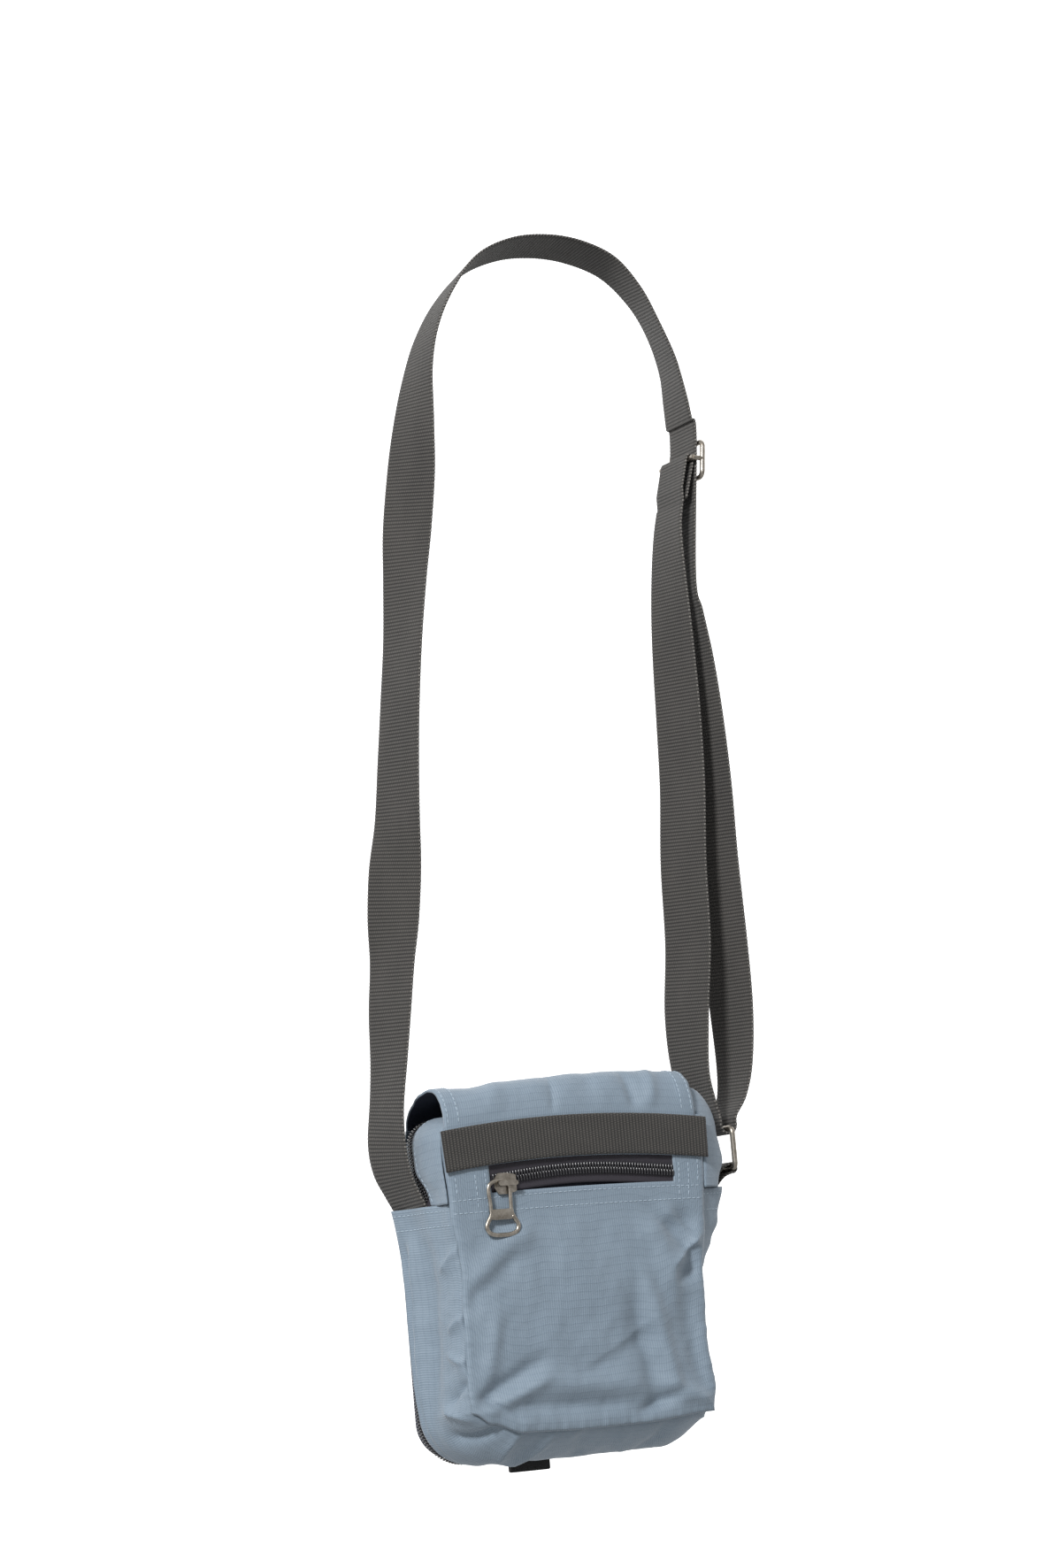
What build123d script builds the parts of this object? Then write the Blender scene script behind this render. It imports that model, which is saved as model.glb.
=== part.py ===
"""Small zip-topped shoulder bag with a flap, hanging from its webbing strap.

Row frame, millimetres: +Z up, -Y towards the wearer's side with the zipped pocket,
+Y towards the flap's front, +X towards the strap's ring and slide.  The origin is the
underside of the strap at its highest point, where the strap rests on a shoulder or hook.
Bag coordinates, used below, count x from the bag's middle, depth from the pocket face and
height from the bottom seam of that face.
"""
from build123d import *
from math import cos, radians, sin
import os

os.makedirs("parts", exist_ok=True)

# --- driving dimensions ------------------------------------------------------------------
STRAP_DROP = 668.0       # resting point of the strap above the bottom seam
APEX_X = 47.0            # resting point to the right of the bag's middle
STRAP_DEPTH = 33.0       # middle of the strap behind the pocket face

CLOTH = 1.2              # single shell layer
BODY_CLOTH = 1.4         # gusset and front layers
FLAP_CLOTH = 1.6         # outer and lining together
HEM = 122.0              # top edge of the lower gusset
BACK_TOP = 163.0         # top seam of the back
BACK_HALF_BOTTOM = 74.0
BACK_HALF_TOP = 82.0
GUSSET_END = 52.5        # depth where the gusset meets the expander zip
SIDE_HALF = 83.0         # half width at the expander zip
FRONT_BOTTOM = -17.0
SIDE_CORNER = 24.0
BAND_TOP = 111.4         # top of the expander zip and front band
FRONT_FACE = 64.0        # outer face of the front panel

CUFF_HALF = 81.0         # half width of the zip gusset above the hem
CUFF_TOP = 166.2
CUFF_CORNER = 12.0
MOUTH_HALF = 57.0        # half length of the strip that folds back

STRIP_BOTTOM = 139.5
STRIP_WIDTH = 22.5
STRIP_THICK = 1.8

FLAP_LEFT = -79.5
FLAP_RIGHT = 77.5
CROWN_HEIGHT = 163.5     # centre of the flap's arch
CROWN_DEPTH = 22.5
CROWN_INNER = 22.7

COIL_HALF = 1.1          # half thickness of a zip coil
COIL_EDGE = 3.2          # half width of the closed coil
COIL_GAP = 0.35          # half of the slit that the slider's web runs in
TAPE = 0.6

WEB_WIDTH = 30.0         # strap webbing
WEB = 1.5

RING_X = 110.5
RING_LOW = 132.5         # centres of the ring's two cross wires
RING_HIGH = 154.8
RING_WIRE = 1.6          # wire radius
RING_SPAN = 34.8         # between the side wires' centres

# bag coordinates of the row's origin
ORIGIN = Vector(APEX_X, STRAP_DEPTH, STRAP_DROP)


def upright(depth, x=0.0):
    """Plane parallel to the pocket face, seen from the wearer's side; its normal is -Y."""
    return Plane(origin=Vector(x, depth, 0) - ORIGIN, x_dir=(1, 0, 0), z_dir=(0, -1, 0))


def sideways(x):
    """Plane across the bag at x; local x is depth and local y is height."""
    return Plane(origin=Vector(x, 0, 0) - ORIGIN, x_dir=(0, 1, 0), z_dir=(1, 0, 0))


def finish(builder, name):
    """Label a finished piece and write it."""
    builder.part.label = name
    export_step(builder.part, f"parts/{name}.step")


def tapered_outline(half_top, half_bottom, bottom, corner, top):
    """Body seen from the back: slanting sides and rounded bottom corners."""
    with BuildLine() as outline:
        side = FilletPolyline(
            (-half_top, top),
            (-half_bottom, bottom),
            (half_bottom, bottom),
            (half_top, top),
            radius=corner,
        )
        Line(side @ 1, side @ 0)
    make_face(outline.edges())


def arch_outline(half, top, corner, foot):
    """Zip gusset seen from the back: two uprights and a top with rounded corners."""
    with BuildLine() as outline:
        side = FilletPolyline((-half, foot), (-half, top), (half, top), (half, foot), radius=corner)
        Line(side @ 1, side @ 0)
    make_face(outline.edges())


def plate(name, depth, thick, half_bottom, half_top, bottom, top, corner):
    """Flat panel parallel to the pocket face."""
    with BuildPart() as panel:
        with BuildSketch(upright(depth)):
            tapered_outline(half_top, half_bottom, bottom, corner, top)
        extrude(amount=-thick)
    finish(panel, name)


# --- wearer's side: pocket panel, yoke, zip, lining, webbing strip ------------------------
def back_half(height):
    """Half width of the back at a height."""
    return BACK_HALF_BOTTOM + (BACK_HALF_TOP - BACK_HALF_BOTTOM) * height / BACK_TOP


WINDOW_LOW = 125.0
WINDOW_HIGH = 137.0
WINDOW_LEFT = -54.5
WINDOW_RIGHT = 61.5
BACK_ZIP_HEIGHT = 131.0
BACK_ZIP_DEPTH = 0.6
LINING_DEPTH = 4.4

plate("back_pocket_panel", 0, CLOTH, BACK_HALF_BOTTOM, back_half(WINDOW_LOW), 0, WINDOW_LOW, 11)
plate("pocket_lining", LINING_DEPTH, 1.0, BACK_HALF_BOTTOM - 1, back_half(160) - 5, 3, 160, 10)

with BuildPart() as back_yoke:
    with BuildSketch(upright(0)):
        with BuildLine():
            Polyline(
                (-back_half(WINDOW_LOW), WINDOW_LOW),
                (-BACK_HALF_TOP, BACK_TOP),
                (BACK_HALF_TOP, BACK_TOP),
                (back_half(WINDOW_LOW), WINDOW_LOW),
                (WINDOW_RIGHT, WINDOW_LOW),
                (WINDOW_RIGHT, WINDOW_HIGH),
                (WINDOW_LEFT, WINDOW_HIGH),
                (WINDOW_LEFT, WINDOW_LOW),
                close=True,
            )
        make_face()
    extrude(amount=-CLOTH)
finish(back_yoke, "back_yoke")

with BuildPart() as webbing_strip:
    with BuildSketch(upright(0)):
        with Locations((1, STRIP_BOTTOM + STRIP_WIDTH / 2)):
            Rectangle(165, STRIP_WIDTH)
    extrude(amount=STRIP_THICK)
finish(webbing_strip, "webbing_strip")


def straight_zip_half(name, place, length, inner_sign, tape_edge):
    """One tape of a straight zip with its coil; local x runs along the zip."""
    with BuildPart() as half:
        with BuildSketch(place.offset(-TAPE / 2)):
            with Locations((0, inner_sign * (COIL_GAP + tape_edge) / 2)):
                Rectangle(length, tape_edge - COIL_GAP)
        extrude(amount=TAPE)
        with BuildSketch(place.offset(-COIL_HALF)):
            with Locations((0, inner_sign * (COIL_GAP + COIL_EDGE) / 2)):
                Rectangle(length, COIL_EDGE - COIL_GAP)
        extrude(amount=2 * COIL_HALF)
    finish(half, name)


BACK_ZIP_MIDDLE = (WINDOW_LEFT + WINDOW_RIGHT) / 2
back_zip_place = Plane(
    origin=Vector(BACK_ZIP_MIDDLE, BACK_ZIP_DEPTH, BACK_ZIP_HEIGHT) - ORIGIN,
    x_dir=(1, 0, 0),
    z_dir=(0, -1, 0),
)
BACK_ZIP_LENGTH = WINDOW_RIGHT - WINDOW_LEFT
straight_zip_half("back_zip_upper_tape", back_zip_place, BACK_ZIP_LENGTH, 1, WINDOW_HIGH - BACK_ZIP_HEIGHT)
straight_zip_half("back_zip_lower_tape", back_zip_place, BACK_ZIP_LENGTH, -1, BACK_ZIP_HEIGHT - WINDOW_LOW)


# --- lower gusset: one band down the left side, under the bag and up the right side -------
# depth, half width at the hem, half width at the bottom, bottom height, corner radius
GUSSET_STATIONS = (
    (CLOTH, 80.0, 74.0, 0.0, 12.0),
    (16.0, 81.2, 77.0, -11.0, 18.0),
    (36.0, 82.4, 81.0, -16.0, 22.0),
    (GUSSET_END, SIDE_HALF, SIDE_HALF, FRONT_BOTTOM, SIDE_CORNER),
)


def gusset_loft(inset, top, mode):
    """Solid filling the gusset's sections, drawn in by inset."""
    sections = []
    for depth, half_hem, half_low, bottom, corner in GUSSET_STATIONS:
        slope = (half_hem - half_low) / (HEM - bottom)
        with BuildSketch(upright(depth)) as section:
            tapered_outline(
                half_hem - inset + slope * (top - HEM),
                half_low - inset + slope * inset,
                bottom + inset,
                corner - inset,
                top,
            )
        sections.append(section.sketch.face())
    loft(sections, mode=mode)


with BuildPart() as gusset:
    gusset_loft(0, HEM, Mode.ADD)
    gusset_loft(BODY_CLOTH, HEM + 3, Mode.SUBTRACT)
finish(gusset, "gusset")


def side_band(name, near, far, outer, inner):
    """Band that follows the expander zip's outline between two depths and two insets."""
    with BuildPart() as band:
        with BuildSketch(upright(near)):
            tapered_outline(
                SIDE_HALF - outer, SIDE_HALF - outer, FRONT_BOTTOM + outer, SIDE_CORNER - outer, BAND_TOP
            )
        extrude(amount=near - far)
        with BuildSketch(upright(near)):
            tapered_outline(
                SIDE_HALF - inner, SIDE_HALF - inner, FRONT_BOTTOM + inner, SIDE_CORNER - inner, BAND_TOP + 1
            )
        extrude(amount=near - far, mode=Mode.SUBTRACT)
    return band


SIDE_ZIP_DEPTH = GUSSET_END + COIL_EDGE + 0.4
SIDE_ZIP_INSET = TAPE / 2        # middle of the tape below the outer surface
FRONT_BAND_START = SIDE_ZIP_DEPTH + COIL_EDGE + 0.2

for name, coil_near, coil_far in (
    ("side_zip_inner_tape", GUSSET_END + 0.1, SIDE_ZIP_DEPTH - COIL_GAP),
    ("side_zip_outer_tape", SIDE_ZIP_DEPTH + COIL_GAP, FRONT_BAND_START - 0.1),
):
    finish(side_band(name, coil_near, coil_far, SIDE_ZIP_INSET - COIL_HALF, SIDE_ZIP_INSET + COIL_HALF), name)

finish(
    side_band("front_band", FRONT_BAND_START, FRONT_FACE - BODY_CLOTH, 0, BODY_CLOTH),
    "front_band",
)
finish(side_band("expander_gusset", 46, FRONT_FACE - BODY_CLOTH, 3.4, 4.2), "expander_gusset")
plate("front_panel", FRONT_FACE - BODY_CLOTH, BODY_CLOTH, SIDE_HALF, SIDE_HALF, FRONT_BOTTOM, BAND_TOP, SIDE_CORNER)

PAD_X = -8.0
with BuildPart() as loop_pad:
    with BuildSketch(upright(FRONT_FACE)):
        with Locations((PAD_X, 25)):
            RectangleRounded(60, 26, 2)
    extrude(amount=-0.9)
finish(loop_pad, "loop_pad")

# slanting top of the front, from the front panel in to the mouth
SLOPE_LOW = (63.4, 112.0)
SLOPE_HIGH = (42.9, 164.9)
SLOPE_STEP = (-1.1, -0.4)        # outer to inner face
with BuildPart() as front_slope:
    with BuildSketch(sideways(-CUFF_HALF)):
        with BuildLine():
            Polyline(
                SLOPE_HIGH,
                SLOPE_LOW,
                (SLOPE_LOW[0] + SLOPE_STEP[0], SLOPE_LOW[1] + SLOPE_STEP[1]),
                (SLOPE_HIGH[0] + SLOPE_STEP[0], SLOPE_HIGH[1] + SLOPE_STEP[1]),
                close=True,
            )
        make_face()
    extrude(amount=2 * CUFF_HALF)
finish(front_slope, "front_slope")


# --- zip gusset above the hem: ears, mouth strip, front strip and the main zip ------------
CUFF_FOOT = HEM + 0.3
# middle of the main zip seen from the side: depth, height
MAIN_ZIP_LINE = ((23.2, CUFF_FOOT), (33.5, 146.0), (35.4, 158.0), (35.4, 170.0))
MAIN_ZIP_DEPTH = 35.4
MAIN_ZIP_HEIGHT = CUFF_TOP - CLOTH / 2


def zip_line_strip(rear, front):
    """Region of the side view between two distances from the zip's middle."""
    with BuildLine() as outline:
        Polyline(
            *[(depth + rear, height) for depth, height in MAIN_ZIP_LINE],
            *[(depth + front, height) for depth, height in reversed(MAIN_ZIP_LINE)],
            close=True,
        )
    make_face(outline.edges())


def cuff_shell(outer, inner):
    """Arch of the zip gusset, extruded from the back seam to the front."""
    with BuildSketch(upright(1.3)) as profile:
        arch_outline(CUFF_HALF + outer, CUFF_TOP + outer, CUFF_CORNER + outer, CUFF_FOOT)
    extrude(profile.sketch, amount=-62)
    with BuildSketch(upright(1.3)) as hollow:
        arch_outline(CUFF_HALF - inner, CUFF_TOP - inner, CUFF_CORNER - inner, CUFF_FOOT)
    extrude(hollow.sketch, amount=-62, mode=Mode.SUBTRACT)


COIL_PROUD = COIL_HALF - CLOTH / 2

EAR_BACK = ((1.3, CUFF_FOOT), (1.3, 170.0))
for name, side in (("left_ear", -1), ("right_ear", 1)):
    with BuildPart() as ear:
        cuff_shell(0, CLOTH)
        with BuildSketch(sideways(0)):
            with BuildLine():
                Polyline(
                    *EAR_BACK,
                    *[(depth - COIL_EDGE, height) for depth, height in reversed(MAIN_ZIP_LINE)],
                    close=True,
                )
            make_face()
        extrude(amount=side * (CUFF_HALF + 5), mode=Mode.INTERSECT)
        with BuildSketch(upright(0)):
            with Locations((0, CUFF_TOP)):
                Rectangle(2 * MOUTH_HALF + 1, 20)
        extrude(amount=-70, mode=Mode.SUBTRACT)
    finish(ear, name)

for name, side in (("main_zip_rear_left", -1), ("main_zip_rear_right", 1)):
    with BuildPart() as rear_coil:
        cuff_shell(COIL_PROUD, CLOTH + COIL_PROUD)
        with BuildSketch(sideways(0)):
            zip_line_strip(-COIL_EDGE, -COIL_GAP)
        extrude(amount=side * (CUFF_HALF + 5), mode=Mode.INTERSECT)
        with BuildSketch(upright(0)):
            with Locations((0, CUFF_TOP)):
                Rectangle(2 * MOUTH_HALF + 1, 20)
        extrude(amount=-70, mode=Mode.SUBTRACT)
    finish(rear_coil, name)

with BuildPart() as main_zip_front_tape:
    cuff_shell(COIL_PROUD, CLOTH + COIL_PROUD)
    with BuildSketch(sideways(0)):
        zip_line_strip(COIL_GAP, COIL_EDGE)
    extrude(amount=CUFF_HALF + 5, both=True, mode=Mode.INTERSECT)
finish(main_zip_front_tape, "main_zip_front_tape")

with BuildPart() as cuff_front:
    cuff_shell(0, CLOTH)
    with BuildSketch(sideways(0)):
        with BuildLine():
            Polyline(
                *[(depth + COIL_EDGE, height) for depth, height in MAIN_ZIP_LINE],
                (42.9, 170.0),
                (42.9, 165.0),
                (41.7, 164.5),
                (58.0, CUFF_FOOT),
                close=True,
            )
        make_face()
    extrude(amount=CUFF_HALF + 5, both=True, mode=Mode.INTERSECT)
finish(cuff_front, "cuff_front")

MOUTH_HINGE_DEPTH = 2.0
with BuildPart() as mouth_strip:
    with BuildSketch(upright(MOUTH_HINGE_DEPTH)):
        with Locations((0, MAIN_ZIP_HEIGHT)):
            Rectangle(2 * MOUTH_HALF, CLOTH)
    extrude(amount=MOUTH_HINGE_DEPTH - (MAIN_ZIP_DEPTH - COIL_EDGE))
finish(mouth_strip, "mouth_strip")

with BuildPart() as mouth_zip_tape:
    with BuildSketch(upright(MAIN_ZIP_DEPTH - COIL_EDGE)):
        with Locations((0, MAIN_ZIP_HEIGHT)):
            Rectangle(2 * MOUTH_HALF, 2 * COIL_HALF)
    extrude(amount=COIL_GAP - COIL_EDGE)
finish(mouth_zip_tape, "mouth_zip_tape")


# --- flap: arched crown over the mouth, drop down the front, pad and pull tab --------------
FLAP_WIDTH = FLAP_RIGHT - FLAP_LEFT
CROWN_OUTER = CROWN_INNER + FLAP_CLOTH

with BuildPart() as flap_crown:
    with BuildSketch(sideways(FLAP_LEFT)):
        with Locations((CROWN_DEPTH, CROWN_HEIGHT)):
            Circle(CROWN_OUTER)
            Circle(CROWN_INNER, mode=Mode.SUBTRACT)
        with Locations((CROWN_DEPTH, CROWN_HEIGHT - 30)):
            Rectangle(80, 60, mode=Mode.SUBTRACT)
        with Locations((CROWN_DEPTH + 30, CROWN_HEIGHT)):
            Rectangle(40, 1.2, mode=Mode.SUBTRACT)
    extrude(amount=FLAP_WIDTH)
finish(flap_crown, "flap_crown")

DROP_TOP = CROWN_HEIGHT - 0.7
DROP_KNEE = 112.0
DROP_BOTTOM = 2.0
DROP_INNER = 66.4
CROWN_FRONT = CROWN_DEPTH + CROWN_INNER
with BuildPart() as flap_drop:
    with BuildSketch(sideways(FLAP_LEFT)):
        with BuildLine():
            Polyline(
                (CROWN_FRONT, DROP_TOP),
                (DROP_INNER, DROP_KNEE),
                (DROP_INNER, DROP_BOTTOM),
                (DROP_INNER + FLAP_CLOTH, DROP_BOTTOM),
                (DROP_INNER + FLAP_CLOTH, DROP_KNEE + 0.3),
                (CROWN_FRONT + FLAP_CLOTH, DROP_TOP),
                close=True,
            )
        make_face()
    extrude(amount=FLAP_WIDTH)
    with BuildSketch(upright(30, (FLAP_LEFT + FLAP_RIGHT) / 2)):
        tapered_outline(FLAP_WIDTH / 2, FLAP_WIDTH / 2, DROP_BOTTOM, 20, 200)
    extrude(amount=-60, mode=Mode.INTERSECT)
finish(flap_drop, "flap_drop")

with BuildPart() as hook_pad:
    with BuildSketch(upright(DROP_INNER - 0.8)):
        with Locations((PAD_X, 25)):
            RectangleRounded(50, 20, 2)
    extrude(amount=-0.8)
finish(hook_pad, "hook_pad")

with BuildPart() as flap_pull_tab:
    with BuildSketch(upright(DROP_INNER + FLAP_CLOTH)):
        with Locations((PAD_X, -5.5)):
            RectangleRounded(25, 39, 1.2)
    extrude(amount=-2.6)
finish(flap_pull_tab, "flap_pull_tab")


# --- zip sliders and their pulls ----------------------------------------------------------
PLATE_LOW = 1.5          # slider plates' inner faces, either side of the tape's middle
PLATE_THICK = 1.1
BAIL_FOOT = 4.6
BAIL_LOW = 5.0
PIVOT = 3.8              # middle of a pull's bar above the tape


def zip_slider(name, place):
    """Slider body on a zip: two shield plates, the web between the coils and the bail."""
    with BuildPart() as slider:
        for start in (PLATE_LOW, -PLATE_LOW - PLATE_THICK):
            with BuildSketch(place.offset(start)):
                with BuildLine():
                    FilletPolyline(
                        (-7.0, -2.0),
                        (-4.5, -5.7),
                        (1.0, -5.7),
                        (6.5, -4.5),
                        (6.5, 4.5),
                        (1.0, 5.7),
                        (-4.5, 5.7),
                        (-7.0, 2.0),
                        radius=0.8,
                        close=True,
                    )
                make_face()
            extrude(amount=PLATE_THICK)
        with BuildSketch(place.offset(-PLATE_LOW)):
            Rectangle(5, 0.3)
        extrude(amount=2 * PLATE_LOW)
        with BuildSketch(place.offset(PLATE_LOW + PLATE_THICK)):
            with Locations((-BAIL_FOOT, 0), (BAIL_FOOT, 0)):
                Circle(0.9)
        extrude(amount=BAIL_LOW - PLATE_LOW - PLATE_THICK)
        with BuildSketch(place.offset(BAIL_LOW)):
            SlotOverall(12, 2.6)
        extrude(amount=1.2)
    finish(slider, name)


def folding_pull(name, place, length):
    """Pull whose bar lies under the bail, across the zip; it points along local +x."""
    with BuildPart() as pull:
        with BuildSketch(place.offset(PIVOT - 0.8)):
            with Locations((length / 2 - 0.8, 0)):
                RectangleRounded(length, 8.4, 1.5)
            with Locations((5.0, 0)):
                Rectangle(8.4, 5.2, mode=Mode.SUBTRACT)
            with Locations((length - 4.5, 0)):
                Circle(1.6, mode=Mode.SUBTRACT)
        extrude(amount=1.6)
    finish(pull, name)


BACK_SLIDER_X = -46.0
back_slider_place = Plane(
    origin=Vector(BACK_SLIDER_X, BACK_ZIP_DEPTH, BACK_ZIP_HEIGHT) - ORIGIN,
    x_dir=(1, 0, 0),
    z_dir=(0, -1, 0),
)
zip_slider("back_zip_slider", back_slider_place)

# the pocket zip's pull hangs from the bail's left foot: eye, two legs, bar and finger ring
PULL_THICK = 1.4
PULL_LEG = 6.6
with BuildPart() as back_zip_pull:
    with BuildSketch(back_slider_place.offset(PIVOT - PULL_THICK / 2)):
        with Locations((-BAIL_FOOT, 0)):
            Circle(2.7)
            with Locations((0, -3.2)):
                Rectangle(2 * PULL_LEG + 1.8, 2.2)
            with Locations((-PULL_LEG, -8.5), (PULL_LEG, -8.5)):
                Rectangle(1.8, 12)
            with Locations((0, -16)):
                Rectangle(2 * PULL_LEG + 2.4, 5.4)
            with Locations((0, -21.6)):
                SlotOverall(21.5, 9.6)
                SlotOverall(15.5, 5.4, mode=Mode.SUBTRACT)
            Circle(1.2, mode=Mode.SUBTRACT)
    extrude(amount=PULL_THICK)
finish(back_zip_pull, "back_zip_pull")

MAIN_SLIDER_X = 64.2
main_slider_place = Plane(
    origin=Vector(MAIN_SLIDER_X, MAIN_ZIP_DEPTH, MAIN_ZIP_HEIGHT) - ORIGIN,
    x_dir=(1, 0, 0),
    z_dir=(0, 0, 1),
)
zip_slider("main_zip_slider", main_slider_place)
folding_pull("main_zip_pull", main_slider_place, 20)

SIDE_SLIDER_HEIGHT = 98.0
side_slider_place = Plane(
    origin=Vector(SIDE_HALF - SIDE_ZIP_INSET, SIDE_ZIP_DEPTH, SIDE_SLIDER_HEIGHT) - ORIGIN,
    x_dir=(0, 0, -1),
    z_dir=(1, 0, 0),
)
zip_slider("side_zip_slider", side_slider_place)
folding_pull("side_zip_pull", side_slider_place, 27)


# --- strap: ring and tab, webbing, slide ---------------------------------------------------
with BuildPart() as strap_ring:
    with BuildLine():
        FilletPolyline(
            Vector(RING_X, STRAP_DEPTH - RING_SPAN / 2, RING_LOW) - ORIGIN,
            Vector(RING_X, STRAP_DEPTH + RING_SPAN / 2, RING_LOW) - ORIGIN,
            Vector(RING_X, STRAP_DEPTH + RING_SPAN / 2, RING_HIGH) - ORIGIN,
            Vector(RING_X, STRAP_DEPTH - RING_SPAN / 2, RING_HIGH) - ORIGIN,
            radius=3.0,
            close=True,
        )
    ring_start = Plane(
        origin=Vector(RING_X, STRAP_DEPTH, RING_LOW) - ORIGIN, x_dir=(1, 0, 0), z_dir=(0, 1, 0)
    )
    with BuildSketch(ring_start):
        Circle(RING_WIRE)
    sweep()
finish(strap_ring, "strap_ring")

TAB_FOOT = (84.0, 125.5)
TAB_GRIP = RING_WIRE + 0.3 + WEB / 2     # ring wire's middle to the webbing's middle
with BuildPart() as ring_tab:
    with BuildSketch(upright(STRAP_DEPTH - WEB_WIDTH / 2)):
        with Locations((RING_X, RING_LOW)):
            Circle(TAB_GRIP + WEB / 2)
        with Locations(TAB_FOOT):
            Circle(WEB)
        make_hull()
        with Locations((RING_X, RING_LOW)):
            Circle(TAB_GRIP - WEB / 2, mode=Mode.SUBTRACT)
    extrude(amount=-WEB_WIDTH)
finish(ring_tab, "ring_tab")

# The slide runs on a straight stretch of webbing between these two points (x, height).
GUIDE_HIGH = (132.0, 556.0)
GUIDE_LOW = (122.8, 474.0)
guide = Vector(GUIDE_HIGH[0] - GUIDE_LOW[0], 0, GUIDE_HIGH[1] - GUIDE_LOW[1]).normalized()

# Webbing stations from the left hem over the shoulder: x, height, and the turn of the
# webbing's width about the vertical, in degrees, where 90 lies straight along the depth.
UPPER_STATIONS = (
    (-84.0, 123.2, 96),
    (-88.8, 131, 102),
    (-94.0, 143, 106),
    (-96.6, 158, 106),
    (-96.0, 178, 102),
    (-92.6, 203, 106),
    (-89.5, 230, 114),
    (-85.5, 258, 119),
    (-82.5, 283, 136),
    (-79.5, 306, 138),
    (-75.5, 334, 120),
    (-71.5, 370, 113),
    (-67.5, 402, 110),
    (-62.5, 438, 110),
    (-58.0, 472, 118),
    (-54.0, 500, 129),
    (-49.0, 530, 128),
    (-44.5, 560, 114),
    (-39.0, 590, 98),
    (-31.0, 614, 91),
    (-18.0, 636, 88),
    (0.0, 655, 84),
    (23.0, 665.5, 81),
    (47.0, 668.8, 80),
    (70.0, 666.5, 78),
    (91.0, 658.5, 76),
    (107.0, 643, 73),
    (118.0, 624, 72),
    (126.0, 602, 78),
    (129.0, 580, 86),
    (130.2, 567, 89),
    (GUIDE_HIGH[0], GUIDE_HIGH[1], 90),
    (GUIDE_LOW[0], GUIDE_LOW[1], 90),
    (123.4, 452, 98),
    (125.2, 425, 108),
    (126.8, 392, 114),
    (127.4, 352, 119),
    (126.8, 308, 121),
    (127.8, 262, 120),
    (128.4, 224, 114),
    (127.0, 192, 102),
    (123.0, 173, 93),
    (115.5, 162, 90),
)
RETURN_STATIONS = (
    (105.5, 162, 90),
    (102.0, 172, 94),
    (97.5, 190, 104),
    (98.5, 222, 116),
    (103.5, 262, 119),
    (105.5, 308, 120),
    (109.5, 352, 119),
    (111.2, 392, 118),
    (111.8, 425, 114),
    (112.4, 452, 108),
    (113.6, 480, 99),
    (115.6, 502, 92),
)
SHOULDER_TILT = 0.17     # how far the webbing's width drops with depth over the shoulder


def station_plane(x, height, turn, before, after):
    """Plane across the webbing; local x is its width."""
    along = Vector(after[0] - before[0], 0, after[1] - before[1]).normalized()
    lean = -SHOULDER_TILT * max(0.0, (height - 560) / 108) if x < GUIDE_HIGH[0] - 5 else 0.0
    width = Vector(cos(radians(turn)), sin(radians(turn)), lean)
    width = (width - along * width.dot(along)).normalized()
    return Plane(origin=Vector(x, STRAP_DEPTH, height) - ORIGIN, x_dir=width, z_dir=along)


def webbing_run(stations):
    """Loft of webbing sections through the stations."""
    sections = []
    for index, (x, height, turn) in enumerate(stations):
        before = stations[max(index - 1, 0)]
        after = stations[min(index + 1, len(stations) - 1)]
        with BuildSketch(station_plane(x, height, turn, before, after)) as section:
            Rectangle(WEB_WIDTH, WEB)
        sections.append(section.sketch.face())
    loft(sections, ruled=True)


FOLD_LEFT = 105.5
FOLD_RIGHT = 115.5
FOLD_TOP = 161.9          # where the fold meets strap_return
FOLD_LOW = RING_HIGH - RING_WIRE - 0.4 - WEB / 2
with BuildPart() as shoulder_strap:
    webbing_run(UPPER_STATIONS[:-1] + ((FOLD_RIGHT, 162, 90), (FOLD_RIGHT, 158, 90)))
    with BuildSketch(upright(STRAP_DEPTH - WEB_WIDTH / 2)):
        with BuildLine():
            outer = FilletPolyline(
                (FOLD_RIGHT + WEB / 2, 158),
                (FOLD_RIGHT + WEB / 2, FOLD_LOW - WEB / 2),
                (FOLD_LEFT - WEB / 2, FOLD_LOW - WEB / 2),
                (FOLD_LEFT - WEB / 2, FOLD_TOP),
                radius=2.9,
            )
            inner = FilletPolyline(
                (FOLD_RIGHT - WEB / 2, 158),
                (FOLD_RIGHT - WEB / 2, FOLD_LOW + WEB / 2),
                (FOLD_LEFT + WEB / 2, FOLD_LOW + WEB / 2),
                (FOLD_LEFT + WEB / 2, FOLD_TOP),
                radius=1.4,
            )
            Line(outer @ 0, inner @ 0)
            Line(outer @ 1, inner @ 1)
        make_face()
    extrude(amount=-WEB_WIDTH)
finish(shoulder_strap, "shoulder_strap")

# slide: a wire frame with a bar riveted across on two posts
SLIDE_HEIGHT = 542.0
SLIDE_WIRE = 1.5
SLIDE_HALF = 17.6
SLIDE_REACH = 10.5
LOOP_WEB = 1.3
slide_x = GUIDE_HIGH[0] - (GUIDE_HIGH[1] - SLIDE_HEIGHT) * guide.X / guide.Z
slide_place = Plane(
    origin=Vector(slide_x, STRAP_DEPTH, SLIDE_HEIGHT) - ORIGIN,
    x_dir=(0, -1, 0),
    z_dir=(-guide.Z, 0, guide.X),
)
END_OUT = -(WEB / 2 + 0.3 + SLIDE_WIRE)
BAR_OUT = WEB / 2 + 0.3 + LOOP_WEB + 0.1 + SLIDE_WIRE


def slide_point(across, reach, out):
    """Point of the slide's own frame, in the row frame."""
    return slide_place.from_local_coords(Vector(across, reach, out))


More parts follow.
